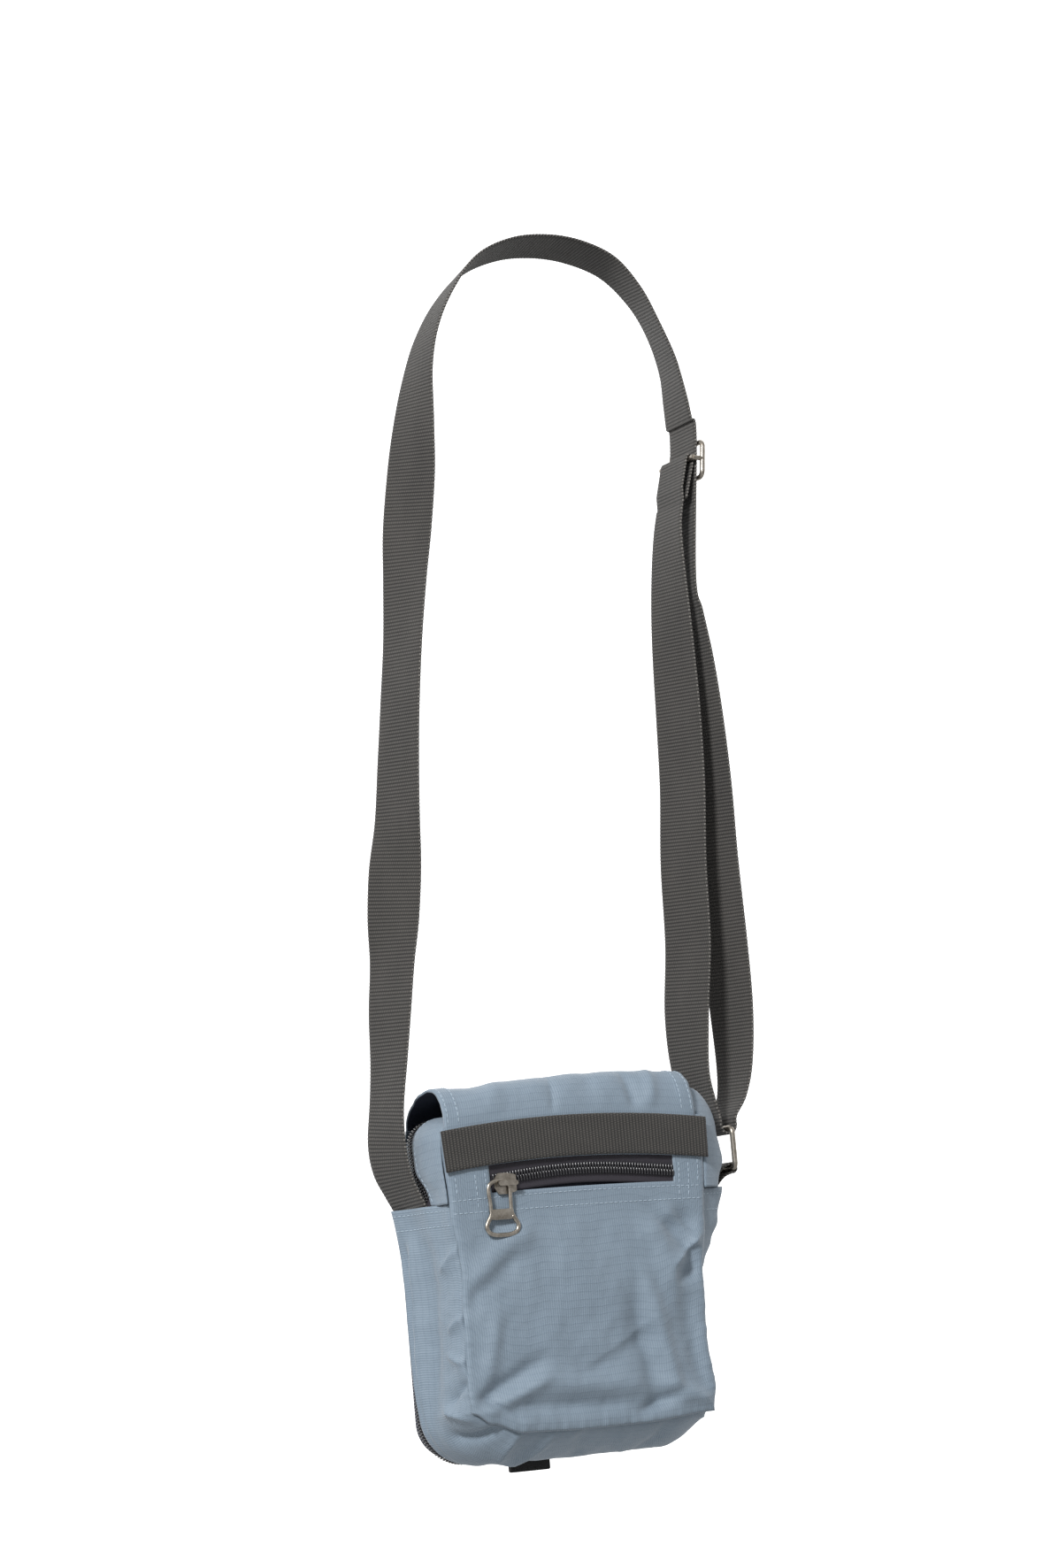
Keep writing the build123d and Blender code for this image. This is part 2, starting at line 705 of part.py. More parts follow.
with BuildPart() as slide_frame:
    with BuildLine():
        FilletPolyline(
            slide_point(-SLIDE_HALF, -SLIDE_REACH, END_OUT),
            slide_point(SLIDE_HALF, -SLIDE_REACH, END_OUT),
            slide_point(SLIDE_HALF, SLIDE_REACH, END_OUT),
            slide_point(-SLIDE_HALF, SLIDE_REACH, END_OUT),
            radius=3.5,
            close=True,
        )
    frame_start = Plane(
        origin=slide_point(0, -SLIDE_REACH, END_OUT), x_dir=slide_place.z_dir, z_dir=slide_place.x_dir
    )
    with BuildSketch(frame_start):
        Circle(SLIDE_WIRE)
    sweep()
    with BuildSketch(slide_place.offset(END_OUT)):
        with Locations((-SLIDE_HALF, 0), (SLIDE_HALF, 0)):
            Circle(SLIDE_WIRE - 0.1)
    extrude(amount=BAR_OUT - END_OUT)
    bar_start = Plane(
        origin=slide_point(-SLIDE_HALF - 1, 0, BAR_OUT), x_dir=slide_place.z_dir, z_dir=slide_place.x_dir
    )
    with BuildSketch(bar_start):
        Circle(SLIDE_WIRE)
    extrude(amount=2 * SLIDE_HALF + 2)
finish(slide_frame, "slide_frame")

LOOP_MIDDLE = SLIDE_WIRE + 0.1 + LOOP_WEB / 2
LOOP_TAIL = 27.0
LOOP_LEAN = 9.0          # degrees that the loop's tail leans away from the strap
loop_place = Plane(
    origin=slide_point(-WEB_WIDTH / 2, 0, BAR_OUT),
    x_dir=slide_place.z_dir.rotate(Axis.Y, LOOP_LEAN),
    z_dir=(0, -1, 0),
)
loop_down = -1 if loop_place.y_dir.Z > 0 else 1
with BuildPart() as strap_end_loop:
    with BuildSketch(loop_place):
        Circle(LOOP_MIDDLE + LOOP_WEB / 2)
        with Locations((0, loop_down * LOOP_TAIL / 2)):
            Rectangle(2 * LOOP_MIDDLE + LOOP_WEB, LOOP_TAIL)
        Circle(LOOP_MIDDLE - LOOP_WEB / 2, mode=Mode.SUBTRACT)
        with Locations((0, loop_down * 5)):
            Rectangle(2 * LOOP_MIDDLE - LOOP_WEB, 10, mode=Mode.SUBTRACT)
    extrude(amount=WEB_WIDTH)
finish(strap_end_loop, "strap_end_loop")

loop_end = loop_place.from_local_coords(Vector(0, loop_down * (LOOP_TAIL + 0.2), 0)) + ORIGIN
with BuildPart() as strap_return:
    webbing_run(RETURN_STATIONS + ((loop_end.X, loop_end.Z, 90),))
finish(strap_return, "strap_return")
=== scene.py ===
from math import cos, exp, hypot, pi, radians, sin, sqrt

import bmesh
import bpy
from mathutils import Matrix, Vector, noise


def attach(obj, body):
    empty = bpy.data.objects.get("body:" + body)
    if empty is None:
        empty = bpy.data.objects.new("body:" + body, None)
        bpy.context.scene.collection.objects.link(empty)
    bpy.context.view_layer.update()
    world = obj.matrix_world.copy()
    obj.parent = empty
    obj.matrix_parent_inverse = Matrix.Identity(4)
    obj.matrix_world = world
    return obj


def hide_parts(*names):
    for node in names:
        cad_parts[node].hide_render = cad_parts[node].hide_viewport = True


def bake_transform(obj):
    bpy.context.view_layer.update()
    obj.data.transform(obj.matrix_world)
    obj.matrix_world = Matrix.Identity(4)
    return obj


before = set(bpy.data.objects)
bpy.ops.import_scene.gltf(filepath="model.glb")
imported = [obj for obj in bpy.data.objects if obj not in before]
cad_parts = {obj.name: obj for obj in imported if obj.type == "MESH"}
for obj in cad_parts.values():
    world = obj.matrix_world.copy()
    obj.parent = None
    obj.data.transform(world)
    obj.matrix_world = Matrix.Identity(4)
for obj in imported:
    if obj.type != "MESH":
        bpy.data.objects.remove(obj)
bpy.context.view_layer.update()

# Bag coordinates, in millimetres: x from the bag's middle, depth from the pocket face,
# height from the bottom seam of that face.  The row's origin is this point of the bag.
ORIGIN = Vector((47, 33, 668))
MM = 0.001

BACK_HALF = 80.4         # nominal half width that the back's columns are counted in
BACK_TOP = 163
WINDOW_LOW = 125         # opening that shows the pocket zip
WINDOW_LEFT = -54.5
WINDOW_RIGHT = 60.3
STRIP_LOW = 139.5
STRIP_HIGH = 162
HEM = 122                # top of the gusset, where the ears begin
GUSSET_END = 52.5        # depth at which the gusset meets the expander zip
SIDE_HALF = 83
FRONT_BOTTOM = -17
SIDE_CORNER = 27
BAND_TOP = 111.4         # height of the expander zip's two ends
ZIP_HEIGHT = 131
FRONT_RIM = 60.2
FRONT_FACE = 64.1
COIL_PITCH = 1.78
FLAP_LEFT = -79.5
FLAP_RIGHT = 77.5
CROWN_DEPTH = 22.5
CROWN_HEIGHT = 163.5
CROWN_RADIUS = 23.5
STRAP_DEPTH = 33
WEB_WIDTH = 30
WEB = 1.5                # thickness of the strap's webbing
LOOP_WEB = 1.25
TAB_WEB = 1.3
RIB = 2.0                # pitch of the webbing's crosswise ribs
CLOTH_STEP = 1.3         # size of the cloth's quads
THREAD_LIFT = 0.12       # how far a stitch stands off the cloth


def row(point):
    """Bag coordinates to the row frame, in metres."""
    return (Vector(point) - ORIGIN) * MM


def smooth(t):
    """Smooth step from 0 to 1."""
    t = min(1.0, max(0.0, t))
    return t * t * (3 - 2 * t)


def lerp(a, b, t):
    return a + (b - a) * t


def through(value, knots):
    """Smooth value at a place along a few (place, value) knots, in rising order of place."""
    if value <= knots[0][0]:
        return knots[0][1]
    for (p0, v0), (p1, v1) in zip(knots, knots[1:]):
        if value <= p1:
            return lerp(v0, v1, smooth((value - p0) / (p1 - p0)))
    return knots[-1][1]


def steps(low, high, size):
    """Evenly spaced values from low to high, about size apart."""
    count = max(1, round((high - low) / size))
    return [lerp(low, high, i / count) for i in range(count + 1)]


# --- meshes ---
def link(name, verts, faces, uvs, materials, body):
    """Mesh object from row-frame vertices, with one UV pair in metres per face corner."""
    mesh = bpy.data.meshes.new(name)
    mesh.from_pydata(verts, [], faces)
    layer = mesh.uv_layers.new(name="weave")
    flat = [value for face in uvs for pair in face for value in pair]
    layer.data.foreach_set("uv", flat)
    mesh.shade_smooth()
    obj = bpy.data.objects.new(name, mesh)
    bpy.context.scene.collection.objects.link(obj)
    for material in materials:
        mesh.materials.append(material)
    if body:
        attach(obj, body)
    return obj


def surface(name, across, along, place, materials, body, skip=None, thick=0.0, turned=False):
    """Sheet through place(a, b), with UVs counted along its own rows and columns."""
    points = [[Vector(place(a, b)) for a in across] for b in along]
    verts = [row(p) for line in points for p in line]
    u = [[0.0] for _ in along]
    v = [[0.0] * len(across)]
    for j, line in enumerate(points):
        for i in range(1, len(line)):
            u[j].append(u[j][i - 1] + (line[i] - line[i - 1]).length * MM)
        middle = u[j][len(line) // 2]
        u[j] = [value - middle for value in u[j]]
        if j:
            v.append([v[j - 1][i] + (line[i] - points[j - 1][i]).length * MM for i in range(len(line))])
    width = len(across)
    faces = []
    uvs = []
    for j in range(len(along) - 1):
        for i in range(width - 1):
            if skip and skip((across[i] + across[i + 1]) / 2, (along[j] + along[j + 1]) / 2):
                continue
            corners = [(j, i), (j, i + 1), (j + 1, i + 1), (j + 1, i)]
            if turned:
                corners.reverse()
            faces.append([jj * width + ii for jj, ii in corners])
            uvs.append([(u[jj][ii], v[jj][ii]) for jj, ii in corners])
    obj = link(name, verts, faces, uvs, materials, body)
    if thick:
        shell = obj.modifiers.new("thickness", "SOLIDIFY")
        shell.thickness = thick * MM
        shell.offset = -1
        if len(materials) > 1:
            shell.material_offset = 1
    return obj


def spline(points, size):
    """Points about size apart on a Catmull-Rom curve through points; each holds any numbers."""
    points = [Vector(p) for p in points]
    ends = [points[0] * 2 - points[1]] + points + [points[-1] * 2 - points[-2]]
    fine = []
    for p0, p1, p2, p3 in zip(ends, ends[1:], ends[2:], ends[3:]):
        count = max(2, int((p2 - p1).length / size * 2))
        for k in range(count):
            t = k / count
            fine.append(
                0.5 * (2 * p1 + (p2 - p0) * t + (2 * p0 - 5 * p1 + 4 * p2 - p3) * t * t
                       + (3 * p1 - 3 * p2 + p3 - p0) * t * t * t)
            )
    fine.append(points[-1])
    return even(fine, size)


def even(fine, size):
    """The polyline resampled at an even step."""
    lengths = [0.0]
    for a, b in zip(fine, fine[1:]):
        lengths.append(lengths[-1] + (b - a).length)
    count = max(2, round(lengths[-1] / size))
    found = []
    k = 0
    for i in range(count + 1):
        wanted = lengths[-1] * i / count
        while k < len(fine) - 2 and lengths[k + 1] < wanted:
            k += 1
        span = max(lengths[k + 1] - lengths[k], 1e-9)
        found.append(fine[k].lerp(fine[k + 1], min(1.0, (wanted - lengths[k]) / span)))
    return found


def ribbon(name, centres, widths, material, body, width=WEB_WIDTH, thick=WEB, pitch=RIB, sheared=False):
    """Webbing along centres, with its width along widths and a toothed selvage at every rib."""
    section = []
    for a in (-1.0, -0.955, -0.8, -0.4, 0.0, 0.4, 0.8, 0.955, 1.0):
        section.append((a, 0.5 if abs(a) < 0.96 else 0.18))
    section += [(-a, -b) for a, b in section]
    verts = []
    lengths = []
    run = 0.0
    for i, (centre, across) in enumerate(zip(centres, widths)):
        before = centres[max(i - 1, 0)]
        after = centres[min(i + 1, len(centres) - 1)]
        if i:
            run += (centre - before).length
        lengths.append(run)
        along = (after - before).normalized()
        if not sheared:
            across = (across - along * across.dot(along)).normalized()
        out = along.cross(across).normalized()
        rib = 0.5 - 0.5 * cos(2 * pi * run / pitch)
        for a, b in section:
            edge = 1.0 + (0.016 * (rib - 0.5) if abs(a) > 0.9 else 0.0)
            swell = 0.86 + 0.14 * rib
            verts.append(row(centre + across * (a * edge * width / 2) + out * (b * swell * thick)))
    count = len(section)
    faces = []
    uvs = []
    for j in range(len(centres) - 1):
        for i in range(count):
            k = (i + 1) % count
            faces.append((j * count + i, j * count + k, (j + 1) * count + k, (j + 1) * count + i))
            ua = section[i][0] * width / 2 * MM
            ub = section[k][0] * width / 2 * MM
            uvs.append(((ua, lengths[j] * MM), (ub, lengths[j] * MM),
                        (ub, lengths[j + 1] * MM), (ua, lengths[j + 1] * MM)))
    for j, order in ((0, range(count - 1, -1, -1)), (len(centres) - 1, range(count))):
        faces.append([j * count + i for i in order])
        uvs.append([(section[i][0] * width / 2 * MM, lengths[j] * MM) for i in order])
    return link(name, verts, faces, uvs, [material], body)


def tube(name, points, radius, material, body, size=0.6, sides=12, flat=0.8):
    """Wire through a few points; flat is its thickness as a share of its width."""
    fine = spline(points, size)
    verts = []
    up = None
    for i, centre in enumerate(fine):
        along = (fine[min(i + 1, len(fine) - 1)] - fine[max(i - 1, 0)]).normalized()
        if up is None:
            up = Vector((0, 1, 0)) if abs(along.y) < 0.8 else Vector((1, 0, 0))
        up = (up - along * up.dot(along)).normalized()
        side = along.cross(up)
        for k in range(sides):
            angle = 2 * pi * k / sides
            verts.append(row(centre + side * (cos(angle) * radius) + up * (sin(angle) * radius * flat)))
    rings = len(fine)
    faces = []
    for j in range(rings - 1):
        for k in range(sides):
            n = (k + 1) % sides
            m = j + 1
            faces.append((j * sides + k, m * sides + k, m * sides + n, j * sides + n))
    faces.append(list(range(sides)))
    faces.append([(rings - 1) * sides + k for k in range(sides - 1, -1, -1)])
    uvs = [[(0.0, 0.0)] * len(face) for face in faces]
    return link(name, verts, faces, uvs, [material], body)


def beads(name, items, material, body, sides=6):
    """Many small rounded bars in one mesh; each item is start, end, radius and flattened direction."""
    verts = []
    faces = []
    profile = ((0.0, 0.35), (0.12, 0.85), (0.5, 1.0), (0.88, 0.85), (1.0, 0.35))
    for start, end, radius, up, flat in items:
        along = (end - start).normalized()
        lift = (up - along * up.dot(along)).normalized()
        side = along.cross(lift)
        base = len(verts)
        for place, size in profile:
            centre = start.lerp(end, place)
            for k in range(sides):
                angle = 2 * pi * k / sides
                verts.append(row(
                    centre + side * (cos(angle) * radius * size) + lift * (sin(angle) * radius * size * flat)
                ))
        for j in range(len(profile) - 1):
            for k in range(sides):
                n = (k + 1) % sides
                faces.append((base + j * sides + k, base + j * sides + n,
                              base + (j + 1) * sides + n, base + (j + 1) * sides + k))
        faces.append([base + k for k in range(sides - 1, -1, -1)])
        faces.append([base + (len(profile) - 1) * sides + k for k in range(sides)])
    uvs = [[(0.0, 0.0)] * len(face) for face in faces]
    return link(name, verts, faces, uvs, [material], body)


def stitches(name, runs, body, pitch=3.1, length=2.3, radius=0.27):
    """Rows of lockstitch; each run is (points on the cloth, outward directions)."""
    items = []
    for points, outs in runs:
        points = [Vector(p) for p in points]
        lengths = [0.0]
        for a, b in zip(points, points[1:]):
            lengths.append(lengths[-1] + (b - a).length)

        def at(distance):
            k = 0
            while k < len(lengths) - 2 and lengths[k + 1] < distance:
                k += 1
            t = (distance - lengths[k]) / max(lengths[k + 1] - lengths[k], 1e-9)
            return points[k].lerp(points[k + 1], t), outs[k]

        for i in range(int(lengths[-1] / pitch)):
            start, out = at(i * pitch + 0.3)
            end, _ = at(i * pitch + 0.3 + length)
            out = Vector(out)
            items.append((start + out * THREAD_LIFT, end + out * THREAD_LIFT, radius, out, 0.7))
    return beads(name, items, thread, body)


def teeth(name, points, outs, sides_used, body, reach=3.0, lift=0.0, radius=0.5):
    """Coil of a zip along points; sides_used holds -1, 1 or both, either side of its middle."""
    points = even([Vector(p) for p in points], COIL_PITCH)
    items = []
    for i in range(1, len(points) - 1):
        along = (points[i + 1] - points[i - 1]).normalized()
        out = Vector(outs(i / (len(points) - 1)))
        across = along.cross(out).normalized()
        for side in sides_used:
            shift = along * (COIL_PITCH / 2 if side > 0 else 0.0)
            start = points[i] + shift + across * (-0.35 * side) + out * (lift + 0.25)
            end = points[i] + shift + along * 0.25 + across * (reach * side) + out * (lift + 0.05)
            items.append((start, end, radius, out, 1.2))
    return beads(name, items, coil_black, body, sides=8)


def plate_piece(name, outline, origin, x_dir, out_dir, low, high, material, body, bevel=0.3):
    """Flat metal plate with rounded edges; outline is in the plate's own plane."""
    x_dir = Vector(x_dir)
    out_dir = Vector(out_dir)
    y_dir = out_dir.cross(x_dir)
    bm = bmesh.new()
    base = [bm.verts.new(Vector(origin) + x_dir * x + y_dir * y + out_dir * low) for x, y in outline]
    face = bm.faces.new(base)
    top = bmesh.ops.extrude_face_region(bm, geom=[face])
    moved = [v for v in top["geom"] if isinstance(v, bmesh.types.BMVert)]
    bmesh.ops.translate(bm, verts=moved, vec=out_dir * (high - low))
    bmesh.ops.recalc_face_normals(bm, faces=bm.faces)
    bmesh.ops.bevel(bm, geom=bm.edges[:], offset=bevel, segments=3, affect="EDGES", profile=0.5)
    for vert in bm.verts:
        vert.co = row(vert.co)
    mesh = bpy.data.meshes.new(name)
    bm.to_mesh(mesh)
    bm.free()
    mesh.shade_smooth()
    mesh.materials.append(material)
    obj = bpy.data.objects.new(name, mesh)
    bpy.context.scene.collection.objects.link(obj)
    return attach(obj, body)


# --- materials ---
class Nodes:
    """Short way to build one material's nodes."""

    def __init__(self, name, roughness, metallic=0.0):
        self.material = bpy.data.materials.new(name)
        self.material.use_nodes = True
        self.tree = self.material.node_tree
        self.tree.nodes.clear()
        output = self.tree.nodes.new("ShaderNodeOutputMaterial")
        self.shader = self.tree.nodes.new("ShaderNodeBsdfPrincipled")
        self.tree.links.new(self.shader.outputs[0], output.inputs[0])
        self.shader.inputs["Roughness"].default_value = roughness
        self.shader.inputs["Metallic"].default_value = metallic

    def add(self, kind, values=None, **settings):
        node = self.tree.nodes.new("ShaderNode" + kind)
        for key, value in settings.items():
            setattr(node, key, value)
        for key, value in (values or {}).items():
            if isinstance(value, bpy.types.NodeSocket):
                self.tree.links.new(value, node.inputs[key])
            else:
                node.inputs[key].default_value = value
        return node

    def math(self, operation, a, b=0.0, clamp=False):
        return self.add("Math", {0: a, 1: b}, operation=operation, use_clamp=clamp).outputs[0]

    def times(self, a, b, clamp=False):
        return self.math("MULTIPLY", a, b, clamp)

    def plus(self, a, b, clamp=False):
        return self.math("ADD", a, b, clamp)

    def uv(self):
        """u and v of the weave, in millimetres."""
        place = self.add("UVMap", uv_map="weave").outputs[0]
        parts = self.add("SeparateXYZ", {0: place})
        u = self.times(parts.outputs[0], 1000.0)
        v = self.times(parts.outputs[1], 1000.0)
        return u, v

    def noise(self, vector, scale, detail=3.0, rough=0.55):
        values = {"Vector": vector, "Scale": scale, "Detail": detail, "Roughness": rough}
        return self.add("TexNoise", values).outputs[0]

    def pack(self, x, y, z=0.0):
        return self.add("CombineXYZ", {0: x, 1: y, 2: z}).outputs[0]

    def wave(self, value, pitch):
        """Rounded ridge from 0 to 1 once every pitch."""
        turn = self.times(value, 2 * pi / pitch)
        return self.plus(self.times(self.math("SINE", turn), 0.5), 0.5)

    def ramp(self, value, low, high):
        """Linear blend between two colours as value goes from 0 to 1."""
        mix = self.add("Mix", data_type="RGBA", clamp_factor=True)
        self.tree.links.new(value, mix.inputs[0])
        mix.inputs[6].default_value = (*low, 1)
        mix.inputs[7].default_value = (*high, 1)
        return mix.outputs[2]

    def finish(self, colour, height=None, distance=0.0002, strength=1.0, rough=None):
        self.tree.links.new(colour, self.shader.inputs["Base Color"])
        if height is not None:
            bump = self.add("Bump", {"Height": height, "Distance": distance, "Strength": strength})
            self.tree.links.new(bump.outputs[0], self.shader.inputs["Normal"])
        if rough is not None:
            self.tree.links.new(rough, self.shader.inputs["Roughness"])
        return self.material


def cloth_material(name, dark, light, rib_pitch=1.3, line_pitch=4.2, along_u=False):
    """Ripstop: fine ribs along the warp, fainter cross lines, slubs and soft fading."""
    n = Nodes(name, 0.62)
    u, v = n.uv()
    if along_u:
        u, v = v, u
    wobble = n.noise(n.pack(n.times(u, 0.08), n.times(v, 0.03)), 1.0, 2.0)
    rib = n.wave(n.plus(u, n.times(wobble, 1.2)), rib_pitch)
    line = n.math("POWER", n.wave(v, line_pitch), 10.0)
    yarn = n.times(n.wave(u, 0.42), n.wave(v, 0.42))
    slub_v = n.noise(n.pack(n.times(u, 1.5), n.times(v, 0.09)), 1.0, 4.0, 0.7)
    slub_u = n.noise(n.pack(n.times(u, 0.12), n.times(v, 1.9)), 1.0, 4.0, 0.7)
    fade = n.noise(n.pack(n.times(u, 0.03), n.times(v, 0.03)), 1.0, 3.0)
    shade = n.times(rib, 0.34)
    shade = n.plus(shade, n.times(slub_v, 0.42))
    shade = n.plus(shade, n.times(slub_u, 0.36))
    shade = n.plus(shade, n.times(fade, 0.22))
    shade = n.math("SUBTRACT", shade, n.times(line, 0.09))
    shade = n.math("SUBTRACT", shade, 0.14, True)
    colour = n.ramp(shade, dark, light)
    height = n.plus(n.times(rib, 0.6), n.times(yarn, 0.25))
    height = n.plus(height, n.times(line, 0.5))
    height = n.plus(height, n.times(slub_v, 0.5))
    n.shader.inputs["Sheen Weight"].default_value = 0.18
    n.shader.inputs["Sheen Roughness"].default_value = 0.45
    return n.finish(colour, height, 0.00016, 0.8)


def webbing_material(name, dark, light, edge):
    """Cotton webbing: crosswise ribs made of staggered yarns, with a paler selvage."""
    n = Nodes(name, 0.85)
    u, v = n.uv()
    ribs = n.math("DIVIDE", v, RIB)
    turn = n.math("FLOOR", ribs)
    rib = n.wave(n.plus(v, -RIB / 4), RIB)
    rib = n.math("POWER", rib, 0.7)
    grain = n.wave(n.plus(u, n.times(turn, 0.62)), 1.24)
    lint = n.noise(n.pack(n.times(u, 1.1), n.times(v, 1.1)), 1.0, 5.0, 0.75)
    wear = n.noise(n.pack(n.times(u, 0.05), n.times(v, 0.02)), 1.0, 3.0)
    weave = n.times(rib, n.plus(n.times(grain, 0.55), 0.45))
    shade = n.plus(n.times(weave, 0.75), n.times(lint, 0.4))
    shade = n.plus(shade, n.times(wear, 0.3))
    shade = n.math("SUBTRACT", shade, 0.28, True)
    colour = n.ramp(shade, dark, light)
    rim = n.math("SUBTRACT", n.math("ABSOLUTE", u), WEB_WIDTH / 2 - 1.0)
    rim = n.times(rim, 1.6, True)
    rim = n.times(rim, n.math("POWER", weave, 2.0))
    mix = n.add("Mix", {0: rim, 6: colour, 7: (*edge, 1)}, data_type="RGBA")
    height = n.plus(weave, n.times(lint, 0.35))
    n.shader.inputs["Sheen Weight"].default_value = 0.12
    return n.finish(mix.outputs[2], height, 0.00045, 1.0)


def twill_material(name, dark, light, roughness=0.7, pitch=0.7):
    """Fine diagonal weave of a zip's tape or a lining."""
    n = Nodes(name, roughness)
    u, v = n.uv()
    lines = n.wave(n.plus(u, n.times(v, 0.8)), pitch)
    lint = n.noise(n.pack(u, v), 0.8, 4.0, 0.7)
    shade = n.plus(n.times(lines, 0.5), n.times(lint, 0.5))
    return n.finish(n.ramp(shade, dark, light), shade, 0.00012, 0.7)


def pile_material(name, dark, light):
    """Hook and loop: a dense short pile."""
    n = Nodes(name, 0.9)
    u, v = n.uv()
    tufts = n.noise(n.pack(u, v), 2.2, 5.0, 0.8)
    return n.finish(n.ramp(tufts, dark, light), tufts, 0.0006, 1.0)


def metal_material(name, dark, light, low=0.24, high=0.5):
    """Antique nickel: darker patina in patches, fine pits and rubbed highlights."""
    n = Nodes(name, 0.35, 1.0)
    place = n.add("TexCoord").outputs["Object"]
    patina = n.noise(place, 420.0, 5.0, 0.65)
    pits = n.noise(place, 2600.0, 3.0, 0.6)
    mix = n.plus(n.times(patina, 1.5), -0.25, True)
    rough = n.plus(n.times(n.math("SUBTRACT", 1.0, mix), high - low), low)
    return n.finish(n.ramp(mix, dark, light), n.plus(patina, n.times(pits, 0.4)),
                    0.00006, 0.6, rough)


def plain_material(name, dark, light, roughness, scale):
    """Slightly uneven nylon or thread."""
    n = Nodes(name, roughness)
    place = n.add("TexCoord").outputs["Object"]
    value = n.noise(place, scale, 3.0, 0.6)
    return n.finish(n.ramp(value, dark, light), value, 0.00005, 0.5)


CLOTH_DARK = (0.108, 0.150, 0.198)
CLOTH_LIGHT = (0.248, 0.310, 0.372)
cloth = cloth_material("cloth", CLOTH_DARK, CLOTH_LIGHT)
cloth_cross = cloth_material("cloth_cross", CLOTH_DARK, CLOTH_LIGHT, along_u=True)
webbing = webbing_material("webbing", (0.005, 0.005, 0.005), (0.094, 0.087, 0.079), (0.23, 0.216, 0.2))
tape = twill_material("zip_tape", (0.012, 0.011, 0.015), (0.040, 0.034, 0.046))
lining = twill_material("lining", (0.010, 0.013, 0.026), (0.032, 0.038, 0.062), 0.75, 0.5)
pile = pile_material("hook_and_loop", (0.004, 0.004, 0.004), (0.03, 0.03, 0.031))
coil_black = plain_material("coil", (0.006, 0.006, 0.008), (0.022, 0.022, 0.026), 0.27, 900.0)
coil_black.node_tree.nodes["Principled BSDF"].inputs["Specular IOR Level"].default_value = 0.9
thread = plain_material("thread", (0.26, 0.33, 0.40), (0.42, 0.50, 0.57), 0.6, 1500.0)
metal = metal_material("antique_metal", (0.16, 0.135, 0.105), (0.56, 0.52, 0.46))


# --- the back: bow of the strip, pinched sides, gathered left corner, folds ---
LEFT_EDGE = ((0, 74.5), (22, 77.5), (49, 76.8), (90, 75.6), (117, 79.4), (163, 81.8))
RIGHT_EDGE = ((0, 74.0), (15, 76.2), (36, 73.6), (76, 74.6), (102, 78.6), (137, 81.4), (163, 82.4))
LOW_SEAM = ((-1, 10.0), (-0.86, 3.5), (-0.62, -2.6), (-0.1, -3.8), (0.4, -3.6), (1, -0.6))
BOW = ((112, 0.0), (131, 2.0), (138, 5.0), (163, 5.5))
RISE = ((112, 0.0), (131, 0.9), (138, -1.0), (163, -1.0))

# soft folds of the pocket panel: two ends, width, height outwards, and whether it is a crease
BACK_FOLDS = (
    ((38, 121), (58, 99), 6.0, -2.4, False),
    ((50, 116), (74, 88), 4.0, 2.2, False),
    ((56, 82), (77, 98), 3.2, 2.6, True),
    ((58, 74), (78, 80), 5.0, -2.2, False),
    ((36, 74), (50, 12), 5.5, 1.8, False),
    ((26, 66), (38, 8), 6.5, -1.6, False),
    ((62, 112), (69, 84), 8.0, -2.7, False),
    ((46, 112), (54, 62), 9.0, 1.7, False),
    ((60, 66), (66, 20), 6.5, -1.6, False),
    ((-70, 76), (-34, 108), 8.0, 2.0, False),
    ((-78, 66), (-44, 92), 6.0, -1.7, False),
    ((-2, 32), (34, 50), 3.5, 0.6, True),
    ((-6, 27), (34, 43), 5.0, -0.7, False),
    ((-66, 10), (-30, 26), 4.5, 1.8, False),
    ((-72, 16), (-36, 34), 4.5, -1.6, False),
    ((-30, 22), (30, 17), 6.0, 1.5, False),
    ((-52, 12), (14, 8), 4.5, -1.4, False),
    ((26, 2), (52, 12), 4.0, -1.8, False),
    ((40, 18), (72, 4), 5.0, 1.8, False),
    ((-58, 60), (-66, 28), 5.0, 1.2, False),
    ((-64, 114), (-40, 116), 3.0, 0.8, False),
    ((-20, 96), (20, 60), 12.0, 1.2, False),
    ((-46, 4), (-66, 16), 2.2, -2.4, True),
    ((-40, 0), (-56, 10), 2.0, 1.6, True),
)
FOLD_GAIN = 1.8          # strength of every listed fold


def fold_height(x, z, folds):
    """Height of the folds at a place on the cloth."""
    total = 0.0
    for (x0, z0), (x1, z1), width, height, crease in folds:
        dx = x1 - x0
        dz = z1 - z0
        length = hypot(dx, dz)
        place = ((x - x0) * dx + (z - z0) * dz) / (length * length)
        if not -0.3 < place < 1.3:
            continue
        side = ((x - x0) * dz - (z - z0) * dx) / length
        fade = smooth((place + 0.3) / 0.55) * smooth((1.3 - place) / 0.55)
        shape = exp(-abs(side) / width) if crease else exp(-((side / width) ** 2))
        total += height * shape * fade
    return total * FOLD_GAIN


def rumple(a, b, size, seed):
    """Small uneven height from -1 to 1."""
    return noise.noise(Vector((a / size, b / size, seed)))


